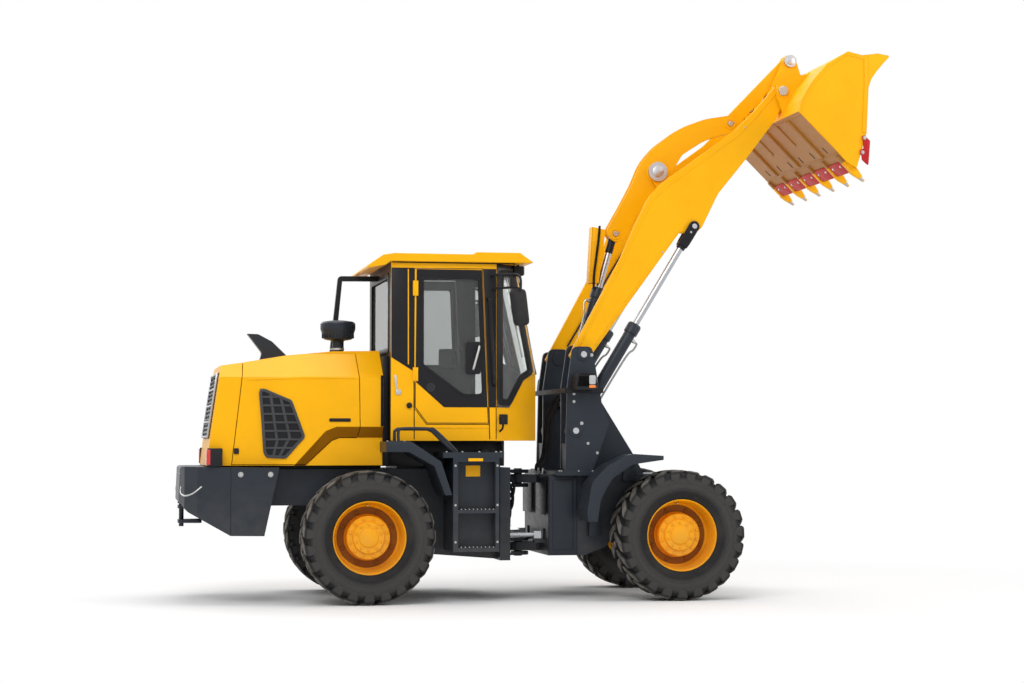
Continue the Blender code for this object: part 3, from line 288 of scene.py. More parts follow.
def inside_cab(made):
    """All of the cab behind its outer skin, and its rear wall."""
    across = made.math("ABSOLUTE", made.axis("Y"), 0.0)
    along = made.axis("X")
    beyond = made.math("MAXIMUM", made.math("SUBTRACT", along, 1.08 - OFFSET), 0.0)
    depth = made.math("SUBTRACT", made.math("SUBTRACT", 0.70, across),
                      made.math("MULTIPLY", beyond, 0.889))
    return made.math("MULTIPLY", made.math("GREATER_THAN", depth, 0.006),
                     made.math("LESS_THAN", along, 1.478 - OFFSET))


def hood_slope_painted_shade(made):
    """Painted shade on the slope over the wheel, between the hood's side face and its recess."""
    across = made.math("ABSOLUTE", made.axis("Y"), 0.0)
    slope = made.math("MULTIPLY", made.math("LESS_THAN", across, 0.617),
                      made.math("GREATER_THAN", across, 0.557))
    low = made.math("MULTIPLY", slope, made.math("LESS_THAN", made.axis("Z"), 1.50))
    return made.math("MULTIPLY", low, made.math("GREATER_THAN", made.axis("X"), -1.05 - OFFSET))


def bucket_floor(made):
    """The outside of the bucket's floor, which is rubbed and dirty."""
    along = made.math("SUBTRACT", made.axis("X"), 4.034 - OFFSET)
    up = made.math("SUBTRACT", made.axis("Z"), 3.690)
    depth = made.math("ADD", made.math("MULTIPLY", along, 0.6993),
                      made.math("MULTIPLY", up, 0.7149))
    run = made.math("SUBTRACT", made.math("MULTIPLY", along, 0.7149),
                    made.math("MULTIPLY", up, 0.6993))
    return made.math("MULTIPLY", made.math("LESS_THAN", depth, 0.004),
                     made.math("LESS_THAN", run, 0.004))


def plastic(name, colour, roughness=0.55):
    """Moulded plastic with a fine grain."""
    made = Shader(name, colour, roughness, specular=0.2)
    made.rounded(0.003).bump(made.noise(700.0, 2.0), 0.25, 0.0004)
    return made.finish(made.mottle(6.0, 0.12),
                       made.spread(made.noise(30.0), roughness - 0.08, roughness + 0.08))


def rubber(name, colour, dusty_radius=None):
    """Tyre or hose rubber; on a tyre the lugs' outer faces are dusty."""
    made = Shader(name, colour, 0.82, specular=0.15)
    tint = made.mottle(5.0, 0.14)
    if dusty_radius:
        across = made.axis("X")
        up = made.axis("Z")
        radius = made.math("SQRT", made.math("ADD", made.math("MULTIPLY", across, across),
                                             made.math("MULTIPLY", up, up)), 0.0)
        outside = made.spread(radius, 0.0, 1.0, dusty_radius, dusty_radius + 0.012)
        patches = made.spread(made.noise(9.0, 7.0), 0.25, 1.0, 0.35, 0.65)
        tint = made.mix(made.math("MULTIPLY", outside, made.math("MULTIPLY", patches, 0.75)),
                        tint, (0.34, 0.31, 0.27))
        wall = made.spread(radius, 0.35, 0.0, 0.30, 0.52)
        film = made.spread(made.noise(4.0, 6.0), 0.0, 0.35, 0.45, 0.75)
        tint = made.mix(made.math("MULTIPLY", wall, film), tint, (0.20, 0.18, 0.155))
        proud = made.spread(made.math("ABSOLUTE", made.axis("Y"), 0.0), 0.0, 0.6, 0.1905, 0.1955)
        tint = made.mix(proud, tint, (0.075, 0.072, 0.069))
    made.bump(made.noise(160.0, 6.0), 0.3, 0.0012)
    return made.finish(tint, made.spread(made.noise(18.0), 0.70, 0.92))


def metal(name, colour, roughness, scale=90.0):
    """Bright metal with fine turning marks."""
    made = Shader(name, colour, roughness, metallic=1.0)
    made.bump(made.noise(scale * 6.0, 3.0), 0.05, 0.0003)
    return made.finish(made.mottle(12.0, 0.05),
                       made.spread(made.noise(scale), roughness - 0.04, roughness + 0.10))


def glass(name, colour, transmission=0.93):
    made = Shader(name, colour, 0.03, transmission=transmission)
    made.shader.inputs["IOR"].default_value = 1.15
    return made.finish(made.mottle(1.2, 0.04), made.spread(made.noise(3.0), 0.02, 0.06))


def lens(name, colour, glow=0.0):
    """A ribbed lamp lens."""
    made = Shader(name, colour, 0.12, coat=0.6)
    ribs = made.node("ShaderNodeTexWave", bands_direction="Z")
    ribs.inputs["Scale"].default_value = 45.0
    made.link(made.place, ribs.inputs["Vector"])
    made.bump(ribs.outputs["Fac"], 0.35, 0.001)
    made.shader.inputs["Emission Color"].default_value = (*colour, 1.0)
    made.shader.inputs["Emission Strength"].default_value = glow
    return made.finish(made.mottle(30.0, 0.08))


def cloth(name, colour):
    """Woven seat cover."""
    made = Shader(name, colour, 0.92)
    weave = made.node("ShaderNodeTexVoronoi", feature="F1")
    weave.inputs["Scale"].default_value = 320.0
    made.link(made.place, weave.inputs["Vector"])
    made.bump(weave.outputs["Distance"], 0.5, 0.0012)
    made.shader.inputs["Sheen Weight"].default_value = 0.3
    return made.finish(made.mix(made.spread(weave.outputs["Distance"], 0.0, 1.0, 0.0, 0.6),
                                colour, tuple(c * 2.2 for c in colour)))


YELLOW = (0.95, 0.455, 0.002)
SLATE = (0.020, 0.026, 0.036)
LOOKS = {
    "yellow": paint("yellow_machine_paint", YELLOW),
    # Painted shade: a dark yellow on the hood's slope over the wheel.
    "hood_yellow": paint("yellow_hood_paint_with_painted_shade", YELLOW, mask=hood_slope_painted_shade,
                         under=(0.30, 0.115, 0.003)),
    "cab_yellow": paint("yellow_cab_paint", YELLOW, mask=inside_cab),
    "deep_yellow": paint("yellow_bucket_paint", YELLOW, 0.42, amount=0.07, mask=bucket_floor,
                         under=(0.42, 0.19, 0.045)),
    "rim": paint("yellow_rim_paint", (0.93, 0.40, 0.004), 0.40, 0.04, 0.85, 0.22, 0.07),
    # Painted shade: the rim's well between lip and hub, in a dark yellow.
    "rim_shade": paint("rim_well_painted_shade", (0.25, 0.090, 0.003), 0.50, amount=0.10),
    "slate": paint("slate_frame_paint", SLATE, 0.40, 0.05, 1.1, 0.14, 0.12, specular=0.24),
    "slate_clean": paint("slate_trim_paint", SLATE, 0.38, 0.05, amount=0.10, specular=0.24),
    "red": paint("red_cutter_paint", (0.50, 0.020, 0.022), 0.44, amount=0.10),
    "plastic": plastic("black_moulded_plastic", (0.014, 0.014, 0.016)),
    "satin_black": plastic("satin_black_trim", (0.010, 0.010, 0.012), 0.40),
    "grille_bar": plastic("dark_grille_bars", (0.055, 0.057, 0.062), 0.50),
    "grey": plastic("grey_webbing", (0.30, 0.30, 0.31), 0.70),
    "tyre": rubber("tyre_rubber", (0.021, 0.0205, 0.0215), 0.524),
    "hose": rubber("hose_rubber", (0.013, 0.013, 0.014)),
    "chrome": metal("polished_rod", (0.44, 0.45, 0.47), 0.24),
    "steel": metal("turned_steel", (0.52, 0.52, 0.54), 0.36),
    "zinc": metal("zinc_fasteners", (0.50, 0.50, 0.49), 0.34),
    "bronze": metal("bronze_bush", (0.50, 0.33, 0.15), 0.38),
    "bare_edge": metal("worn_steel_edge", (0.46, 0.44, 0.42), 0.42),
    "glass": glass("grey_tinted_glass", (0.61, 0.63, 0.625)),
    "clear_glass": glass("clear_windscreen_glass", (0.92, 0.95, 0.94)),
    "mirror": metal("mirror_glass", (0.80, 0.82, 0.82), 0.06),
    "red_lens": lens("red_lamp_lens", (0.55, 0.010, 0.008), 0.15),
    "orange_lens": lens("orange_lamp_lens", (0.90, 0.20, 0.01), 0.15),
    "clear_lens": lens("clear_lamp_lens", (0.40, 0.41, 0.42), 0.16),
    "cloth": cloth("woven_seat_cover", (0.030, 0.030, 0.034)),
}


# ---------------------------------------------------------------- shapes
def smooth_path(points, steps=6):
    """Catmull-Rom points through a route."""
    route = [Vector(p) for p in points]
    if len(route) < 3:
        return route
    ends = [route[0] * 2 - route[1]] + route + [route[-1] * 2 - route[-2]]
    made = []
    for a, b, c, d in zip(ends, ends[1:], ends[2:], ends[3:]):
        for step in range(steps):
            t = step / steps
            made.append(0.5 * ((2 * b) + (c - a) * t + (2 * a - 5 * b + 4 * c - d) * t * t
                               + (3 * b - 3 * c + d - a) * t ** 3))
    return made + [route[-1]]


def ring(radius, segments, height=0.0, turn=0.0):
    return [Vector((radius * math.cos(2 * math.pi * i / segments + turn),
                    radius * math.sin(2 * math.pi * i / segments + turn), height))
            for i in range(segments)]


def aimed(start, direction):
    """A frame at start whose Z runs along the direction."""
    turn = Vector(direction).to_track_quat("Z", "Y").to_matrix().to_4x4()
    return Matrix.Translation(Vector(start)) @ turn


def in_plane(start, end, y):
    """A frame at a pivot: Z towards the other pivot, Y across the machine."""
    along = Vector((end[0] - start[0], 0.0, end[1] - start[1])).normalized()
    side = CROSS.cross(along)
    made = Matrix((side, CROSS, along)).transposed().to_4x4()
    return Matrix.Translation(P(start[0], y, start[1])) @ made


def softened(corners, radius, steps=4):
    """An outline with each of its corners rounded."""
    made = []
    count = len(corners)
    for index, corner in enumerate(corners):
        here = Vector(corner)
        before = Vector(corners[index - 1]) - here
        after = Vector(corners[(index + 1) % count]) - here
        half = before.angle(after) / 2
        reach = min(radius / math.tan(half), 0.45 * before.length, 0.45 * after.length)
        first, last = here + before.normalized() * reach, here + after.normalized() * reach
        for step in range(steps + 1):
            t = step / steps
            made.append(tuple(first * (1 - t) ** 2 + here * 2 * t * (1 - t) + last * t * t))
    return made


class Piece:
    """Geometry gathered into one object, which rides on one body."""

    def __init__(self, name, look, body):
        self.name, self.look, self.body = name, look, body
        self.bm = bmesh.new()

    def loft(self, rings, matrix=None, loop=False):
        matrix = matrix or Matrix.Identity(4)
        grid = [[self.bm.verts.new(matrix @ Vector(p)) for p in one] for one in rings]
        pairs = list(zip(grid, grid[1:]))
        if loop:
            pairs.append((grid[-1], grid[0]))
        count = len(grid[0])
        for first, second in pairs:
            for i in range(count):
                j = (i + 1) % count
                self.bm.faces.new((first[i], first[j], second[j], second[i]))
        if not loop:
            self.bm.faces.new(grid[0][::-1])
            self.bm.faces.new(grid[-1])
        return self

    def box(self, low, high, matrix=None):
        """A block between two corners, in the machine's frame unless a matrix is given."""
        lo, hi = (Vector(low), Vector(high)) if matrix else (P(*low), P(*high))
        rings = [[(lo.x, lo.y, z), (hi.x, lo.y, z), (hi.x, hi.y, z), (lo.x, hi.y, z)]
                 for z in (lo.z, hi.z)]
        return self.loft(rings, matrix)

    def prism(self, outline, y_low, y_high):
        """An upright plate whose outline is seen from the side, in (x, z)."""
        return self.loft([[P(x, y, z) for x, z in outline] for y in (y_low, y_high)])

    def slab(self, outline, z_low, z_high):
        return self.loft([[P(x, y, z) for x, y in outline] for z in (z_low, z_high)])

    def turned(self, stations, matrix, segments=40, loop=False):
        """(along, radius) stations turned about the matrix's Z."""
        return self.loft([ring(max(r, 0.0005), segments, h) for h, r in stations], matrix, loop)

    def across(self, point, stations, segments=32):
        """Stations are (y, radius) on a line across the machine at a pivot (x, z)."""
        return self.turned(stations, aimed(P(point[0], 0.0, point[1]), CROSS), segments)

    def tube(self, points, radius, segments=12, steps=6, swell=None):
        route = smooth_path([P(*p) for p in points], steps)
        rings = []
        up = Vector((0.31, 0.17, 0.93))
        for index, here in enumerate(route):
            ahead = route[min(index + 1, len(route) - 1)] - route[max(index - 1, 0)]
            ahead.normalize()
            up = (up - ahead * up.dot(ahead)).normalized()
            aside = ahead.cross(up)
            size = radius * (swell(index) if swell else 1.0)
            rings.append([here + (up * math.cos(a) + aside * math.sin(a)) * size
                          for a in (2 * math.pi * i / segments for i in range(segments))])
        return self.loft(rings)

    def bolt(self, place, direction, size=0.010, washer=True):
        """A hexagon head, with its washer, standing on a face."""
        matrix = aimed(P(*place), direction)
        if washer:
            self.loft([ring(size * 1.35, 20, 0.0), ring(size * 1.35, 20, size * 0.2)], matrix)
        self.loft([ring(size, 6, size * 0.2), ring(size, 6, size * 0.75),
                   ring(size * 0.88, 6, size * 0.9)], matrix)
        return self

    def ribbon(self, points, width, surface, thickness=0.004, closed=True, sink=0.001):
        """A flat strip along a line drawn on a surface; surface(x, z, out) gives places."""
        line = [Vector(p) for p in points]
        rings = []
        count = len(line)
        for index, here in enumerate(line):
            before = line[index - 1] if closed or index else None
            after = line[(index + 1) % count] if closed or index + 1 < count else None
            headings = [(b - a).normalized() for a, b in ((before, here), (here, after))
                        if a is not None and b is not None]
            heading = sum(headings, Vector((0.0, 0.0))).normalized()
            aside = Vector((heading.y, -heading.x))
            share = max(0.5, abs(aside.dot(Vector((headings[0].y, -headings[0].x)))))
            step = aside * (width / 2 / share)
            rings.append([surface(*(here + step * s), out)
                          for s, out in ((-1, -sink), (1, -sink), (1, thickness),
                                         (-1, thickness))])
        return self.loft(rings, loop=closed)

    def panel(self, outline, surface, thickness=0.004, sink=0.001):
        return self.loft([[surface(x, z, out) for x, z in outline]
                          for out in (-sink, thickness)])

    def done(self, bevel=0.0, replaces=(), sharp=35.0, origin=None, segments=2):
        bm = self.bm
        bmesh.ops.recalc_face_normals(bm, faces=bm.faces)
        if bevel:
            edges = [e for e in bm.edges if len(e.link_faces) == 2
                     and e.calc_face_angle() > math.radians(38.0)]
            bmesh.ops.bevel(bm, geom=edges, offset=bevel, segments=segments, profile=0.5,
                            affect="EDGES", clamp_overlap=True)
        if origin is not None:
            bmesh.ops.translate(bm, verts=bm.verts, vec=-origin)
        mesh = bpy.data.meshes.new(self.name)
        bm.to_mesh(mesh)
        bm.free()
        mesh.shade_smooth()
        mesh.set_sharp_from_angle(angle=math.radians(sharp))
        mesh.materials.append(LOOKS[self.look])
        made = bpy.data.objects.new(self.name, mesh)
        bpy.context.scene.collection.objects.link(made)
        if origin is not None:
            made.location = origin
            bpy.context.view_layer.update()
        if replaces:
            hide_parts(*replaces)
        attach(made, self.body)
        return made


# ---------------------------------------------------------------- finishes of the CAD nodes
NODE_LOOKS = {
    "yellow": ("cab_roof", "boom", "bellcrank", "bucket_link"),
    "hood_yellow": ("hood", "hood_door_right", "hood_door_left"),
    "cab_yellow": ("cab", "cab_door_right", "cab_door_left"),
    "deep_yellow": ("bucket", "cutting_edge"),
    "slate": ("rear_chassis", "counterweight", "tank_box_right", "tank_box_left",
              "front_frame", "front_fender_right", "front_fender_left", "rear_fender_right",
              "rear_fender_left", "steer_cylinder_right", "steer_cylinder_left"),
    "slate_clean": ("exhaust_fin",),
    "plastic": ("engine", "rear_grille", "cab_interior", "light_bar"),
    "glass": ("rear_window", "door_glass_right", "door_glass_left"),
    "clear_glass": ("windscreen",),
    "chrome": ("steer_rod_right", "steer_rod_left"),
    "steel": ("bellcrank_pin", "bucket_pin_right", "bucket_pin_left", "link_pin", "tilt_pin"),
}
for look_name, members in NODE_LOOKS.items():
    for member in members:
        mesh = NODES[member].data
        if not mesh.materials:
            mesh.materials.append(LOOKS[look_name])
        for slot_index in range(len(mesh.materials)):
            NODES[member].material_slots[slot_index].material = LOOKS[look_name]


# ---------------------------------------------------------------- wheels and axles
# (along the axle from the tyre's middle, radius)
CARCASS = [(-0.166, 0.301), (-0.176, 0.312), (-0.189, 0.345), (-0.1965, 0.400),
           (-0.1975, 0.440), (-0.192, 0.476), (-0.178, 0.499), (-0.140, 0.508),
           (0.0, 0.511), (0.140, 0.508), (0.178, 0.499), (0.192, 0.476), (0.1975, 0.440),
           (0.1965, 0.400), (0.189, 0.345), (0.176, 0.312), (0.166, 0.301)]
LUG_COUNT = 23
# across the tread, top radius, turn round the tyre, half width, depth
LUG_STATIONS = ((0.004, 0.5385, 0.000, 0.025, 0.034), (0.060, 0.5398, 0.045, 0.029, 0.034),
                (0.120, 0.5396, 0.110, 0.036, 0.034), (0.165, 0.5380, 0.165, 0.042, 0.040),
                (0.189, 0.5280, 0.190, 0.044, 0.045), (0.1975, 0.4960, 0.198, 0.042, 0.040),
                (0.1990, 0.4660, 0.202, 0.034, 0.028), (0.1985, 0.4480, 0.204, 0.022, 0.010))


def lug_rings(half, start):
    rings = []
    for across, top, turn, half_width, depth in LUG_STATIONS:
        angle = start + turn
        wrap = min(1.0, max(0.0, (across - 0.15) / 0.045))
        low = top - depth * (1.0 - wrap) - 0.004
        inner = across - wrap * 0.012
        rings.append([Vector((r * math.cos(angle + a / r), r * math.sin(angle + a / r),
                              half * w))
                      for r, w, a in ((top, across, -half_width * 0.82),
                                      (top, across, half_width * 0.82),
                                      (low, inner, half_width * 1.12),
                                      (low, inner, -half_width * 1.12))])
    return rings


def wheel(place, axle_x, side_name, side):
    body = f"{place}_wheel_{side_name}"
    outward = aimed(P(axle_x, side * HALF_TRACK, TYRE_RADIUS), (0.0, side, 0.0))
    centre = P(axle_x, side * HALF_TRACK, TYRE_RADIUS)
    tyre = Piece(f"{body}_tyre", "tyre", body)
    tyre.turned(CARCASS + [(0.150, 0.296), (-0.150, 0.296)], outward, 92, loop=True)
    for height, radius in ((0.1962, 0.392), (0.1975, 0.436), (0.1905, 0.350)):
        for half in (-1, 1):
            tyre.turned([(half * (height - 0.004), radius - 0.004),
                         (half * (height + 0.0015), radius - 0.0015),
                         (half * (height + 0.0015), radius + 0.0015),
                         (half * (height - 0.004), radius + 0.004)], outward, 92, loop=True)
    for half in (-1, 1):
        for index in range(LUG_COUNT):
            shift = 0.5 if half > 0 else 0.0
            tyre.loft(lug_rings(half, 2 * math.pi * (index + shift) / LUG_COUNT), outward)
    tyre.done(replaces=(f"{place}_tyre_{side_name}",), origin=centre, sharp=38.0)

    rim = Piece(f"{body}_rim", "rim", body)
    rim.turned([(0.160, 0.2985), (0.168, 0.2975), (0.1700, 0.2930), (0.165, 0.2885),
                (0.150, 0.2850), (0.090, 0.2810), (0.020, 0.2740), (-0.012, 0.2640),
                (-0.024, 0.2480), (-0.024, 0.1900), (-0.014, 0.1805), (0.068, 0.1780),
                (0.078, 0.1740), (0.080, 0.1690), (0.080, 0.1300), (0.096, 0.1280),
                (0.101, 0.1240), (0.101, 0.0820), (0.110, 0.0760), (0.1175, 0.0600),
                (0.1175, 0.0010), (-0.046, 0.0010), (-0.046, 0.2560), (-0.120, 0.2640),
                (-0.160, 0.2760), (-0.170, 0.2900), (-0.1715, 0.2985)], outward, 72, loop=True)
    rim.done(replaces=(f"{place}_rim_{side_name}",), sharp=30.0, bevel=0.0)

    bolts = Piece(f"{body}_bolts", "rim", body)
    for count, radius, height, size in ((12, 0.154, 0.080, 0.0105), (10, 0.104, 0.101, 0.0085)):
        for index in range(count):
            angle = 2 * math.pi * (index + 0.5) / count
            spot = outward @ Vector((radius * math.cos(angle), radius * math.sin(angle), height))
            bolts.bolt((spot.x + OFFSET, spot.y, spot.z), (0.0, side, 0.0), size)
    bolts.done(sharp=30.0)
    # The well disc and its bolts carry painted shade, a dark yellow.
    well = Piece(f"{body}_well", "rim_shade", body)
    well.turned([(-0.0240, 0.1900), (-0.0225, 0.1900), (-0.0225, 0.2470), (-0.0240, 0.2475)],
                outward, 60, loop=True)
    for index in range(8):
        angle = 2 * math.pi * (index + 0.5) / 8
        spot = outward @ Vector((0.218 * math.cos(angle), 0.218 * math.sin(angle), -0.0225))
        well.bolt((spot.x + OFFSET, spot.y, spot.z), (0.0, side, 0.0), 0.0135)
    well.done(sharp=30.0)
    valve = Piece(f"{body}_valve", "zinc", body)
    stem = outward @ Vector((0.0, 0.258, -0.020))
    valve.turned([(0.0, 0.006), (0.030, 0.006), (0.031, 0.0045), (0.045, 0.0045)],
                 aimed(stem, (0.0, side, 0.0)), 14)
    valve.done(sharp=30.0)


def axle(place, axle_x, body):
    half = [(0.7940, 0.088), (0.7700, 0.091), (0.6700, 0.091), (0.6620, 0.132),
            (0.6450, 0.134), (0.5650, 0.134), (0.5550, 0.128), (0.5300, 0.084),
            (0.2600, 0.084), (0.2200, 0.105), (0.1500, 0.150), (0.0900, 0.164)]
    housing = Piece(f"{place}_axle_housing", "slate", body)
    housing.turned(half + [(-y, r) for y, r in reversed(half)],
                   aimed(P(axle_x, 0.0, TYRE_RADIUS), CROSS), 48)
    facing = 1.0 if place == "rear" else -1.0
    housing.turned([(0.10, 0.120), (0.19, 0.105), (0.23, 0.070), (0.27, 0.062)],
                   aimed(P(axle_x, 0.0, TYRE_RADIUS), (facing, 0.0, 0.0)), 32)
    housing.done(replaces=(f"{place}_axle",), sharp=40.0)
    bolts = Piece(f"{place}_axle_bolts", "zinc", body)
    for _, side in SIDES:
        for index in range(12):
            angle = 2 * math.pi * index / 12
            bolts.bolt((axle_x + 0.115 * math.cos(angle), side * 0.5545,
                        TYRE_RADIUS + 0.115 * math.sin(angle)), (0.0, -side, 0.0), 0.009, False)
    for index in range(8):
        angle = 2 * math.pi * index / 8
        bolts.bolt((axle_x + facing * 0.268, 0.046 * math.cos(angle),
                    TYRE_RADIUS + 0.046 * math.sin(angle)), (facing, 0.0, 0.0), 0.007, False)
    bolts.done(sharp=30.0)


for place_name, axle_place in AXLES:
    for side_label, side_sign in SIDES:
        wheel(place_name, axle_place, side_label, side_sign)
axle("rear", 0.0, "rear_frame")
axle("front", 2.60, "front_frame")


# ---------------------------------------------------------------- hood
GRILLE_LEFT = [(-0.861, 1.748), (-0.838, 1.480), (-0.821, 1.232), (-0.803, 1.195)]
GRILLE_RIGHT = [(-0.612, 1.644), (-0.558, 1.500), (-0.505, 1.357), (-0.654, 1.188)]


def hood_wall(side):
    return lambda x, z, out: P(x, side * (0.62 + out), z)


def along_line(line, t):
    """A place at share t of a line's corners."""
    spot = t * (len(line) - 1)
    index = min(int(spot), len(line) - 2)
    return Vector(line[index]).lerp(Vector(line[index + 1]), spot - index)


def side_grille(side_name, side):
    body = f"hood_door_{side_name}"
    wall = hood_wall(side)
    outline = GRILLE_LEFT + GRILLE_RIGHT[::-1]
    # Painted shade: a black sheet in the grille's outline stands for the dark behind its bars.
    back = Piece(f"side_grille_painted_shade_{side_name}", "satin_black", body)
    back.panel(outline, wall, 0.0015)
    back.done()
    frame_piece = Piece(f"side_grille_frame_{side_name}", "grille_bar", body)
    frame_piece.ribbon(softened(outline, 0.03), 0.024, wall, 0.012)
    foot, head = GRILLE_LEFT[-1][1], GRILLE_LEFT[0][1]
    rows, columns = 8, 3

    def edge_at(line, height):
        for a, b in zip(line, line[1:]):
            if min(a[1], b[1]) <= height <= max(a[1], b[1]):
                return a[0] + (b[0] - a[0]) * (height - a[1]) / (b[1] - a[1])
        return None

    for row in range(1, rows):
        height = foot + (head - foot) * row / rows
        left, right = edge_at(GRILLE_LEFT, height), edge_at(GRILLE_RIGHT, height)
        if right is None:
            right = left + (GRILLE_RIGHT[0][0] - GRILLE_LEFT[0][0]) * (head - height) / 0.104
        frame_piece.ribbon([(left, height), (right, height)], 0.016, wall, 0.009, closed=False)
    for column in range(1, columns):
        share = column / columns
        line = [along_line(GRILLE_LEFT, t).lerp(along_line(GRILLE_RIGHT, t), share)
                for t in (0.0, 0.3, 0.6, 1.0)]
        frame_piece.ribbon(line, 0.022, wall, 0.0065, closed=False)
    frame_piece.done(bevel=0.0015)
    handle = Piece(f"hood_handle_{side_name}", "plastic", body)
    handle.panel(softened([(-0.296, 1.478), (-0.120, 1.478), (-0.120, 1.506), (-0.296, 1.506)],
                          0.010), wall, 0.007)
    handle.panel(softened([(-0.280, 1.486), (-0.200, 1.486), (-0.200, 1.500), (-0.280, 1.500)],
                          0.006), wall, 0.014)
    handle.panel(softened([(-1.070, 1.215), (-1.030, 1.215), (-1.030, 1.262), (-1.070, 1.262)],
                          0.008), wall, 0.012)
    handle.done(bevel=0.002)


def rear_grille():
    foot, head = Vector((-1.268, 1.343)), Vector((-1.190, 1.877))
    slats = Piece("rear_grille_slats", "satin_black", "rear_frame")
    count = 15
    for index in range(count):
        spot = foot.lerp(head, (index + 0.5) / count)
        lean = in_plane((spot.x, spot.y), (spot.x + 0.5, spot.y + 0.35), 0.0)
        slats.box((-0.004, -0.440, -0.018), (0.004, 0.440, 0.020), lean)
    slats.done(bevel=0.001)
    bright = Piece("rear_grille_surround", "chrome", "rear_frame")
    along = (head - foot).normalized()
    away = Vector((-along.y, along.x))
    for _, side in SIDES:
        low, high = sorted((side * 0.425, side * 0.457))
        bright.prism([tuple(foot + away * 0.016), tuple(foot), tuple(head),
                      tuple(head + away * 0.016)], low, high)
    for share in (0.02, 0.25, 0.5, 0.75, 0.98):
        spot = foot.lerp(head, share)
        bright.prism([tuple(spot + away * 0.018 - along * 0.007), tuple(spot - along * 0.007),
                      tuple(spot + along * 0.007), tuple(spot + away * 0.018 + along * 0.007)],
                     -0.440, 0.440)
    bright.done(bevel=0.002)


def tail_lights(side_name, side):
    def span(near, far):
        return sorted((side * near, side * far))

    low, high = span(0.622, 0.700)
    case = Piece(f"tail_light_case_{side_name}", "plastic", "rear_frame")
    case.box((-1.285, low, 1.1135), (-1.165, high, 1.262))
    case.done(bevel=0.006)
    red = Piece(f"tail_light_red_{side_name}", "red_lens", "rear_frame")
    low, high = span(0.630, 0.703)
    red.box((-1.294, low, 1.128), (-1.262, high, 1.252))
    red.done(bevel=0.004)


def hood_details():
    for side_name, side in SIDES:
        side_grille(side_name, side)
        tail_lights(side_name, side)
        strip = Piece(f"hood_front_strip_{side_name}", "hose", "rear_frame")
        strip.ribbon([(0.138, 1.440), (0.138, 1.860)], 0.022, hood_wall(side), 0.004,
                     closed=False)
        strip.done(bevel=0.001)
        crease = Piece(f"hood_crease_{side_name}", "yellow", f"hood_door_{side_name}")
        crease.ribbon([(-0.960, 1.822), (-0.500, 1.838), (-0.080, 1.838)], 0.016,
                      hood_wall(side), 0.004, closed=False)
        crease.done(bevel=0.001)
    rear_grille()
    x, y, base = -0.171, -0.10, 2.0688
    cleaner = Piece("precleaner_bowl", "slate_clean", "rear_frame")
    cleaner.turned([(0.0, 0.050), (0.090, 0.050), (0.098, 0.058), (0.104, 0.100),
                    (0.110, 0.119), (0.190, 0.1465), (0.196, 0.148), (0.238, 0.148),
                    (0.246, 0.144), (0.258, 0.128), (0.268, 0.060), (0.2705, 0.001)],
                   aimed(P(x, y, base), (0.0, 0.0, 1.0)), 56)
    for index in range(28):
        angle = 2 * math.pi * index / 28
        turn = aimed(P(x, y, base), (0.0, 0.0, 1.0)) @ Matrix.Rotation(angle, 4, "Z")
        cleaner.box((0.108, -0.003, 0.118), (0.137, 0.003, 0.190), turn)
    cleaner.done(replaces=("precleaner",), sharp=20.0)
    clamp = Piece("precleaner_clamp", "zinc", "rear_frame")
    clamp.turned([(0.018, 0.0512), (0.018, 0.0530), (0.034, 0.0530), (0.034, 0.0512)],
                 aimed(P(x, y, base), (0.0, 0.0, 1.0)), 40, loop=True)
    clamp.box((0.050, -0.010, 0.020), (0.066, 0.010, 0.032),
              aimed(P(x, y, base), (0.0, 0.0, 1.0)))
    clamp.done()


hood_details()


# ---------------------------------------------------------------- cab
CAB_HALF = 0.70
TAPER_X = 1.08
TAPER = 0.36 / 0.405
DOOR_WINDOW = [(0.462, 2.665), (0.930, 2.670), (0.968, 1.700), (0.800, 1.697), (0.462, 1.945)]
DOOR_BORDER = [(0.412, 2.735), (0.958, 2.735), (1.006, 1.598), (0.642, 1.598), (0.404, 1.808)]
QUARTER_WINDOW = [(1.110, 1.640), (1.200, 1.640), (1.330, 1.850), (1.425, 1.905),
                  (1.240, 2.715), (1.110, 2.715)]


def cab_wall(side):
    """The cab's side, which turns inwards at the front corner."""
    slope = math.hypot(1.0, TAPER)

    def surface(x, z, out):
        if x <= TAPER_X:
            return P(x, side * (CAB_HALF + out), z)
        return P(x + out * TAPER / slope, side * (CAB_HALF - (x - TAPER_X) * TAPER + out / slope),
                 z)
    return surface


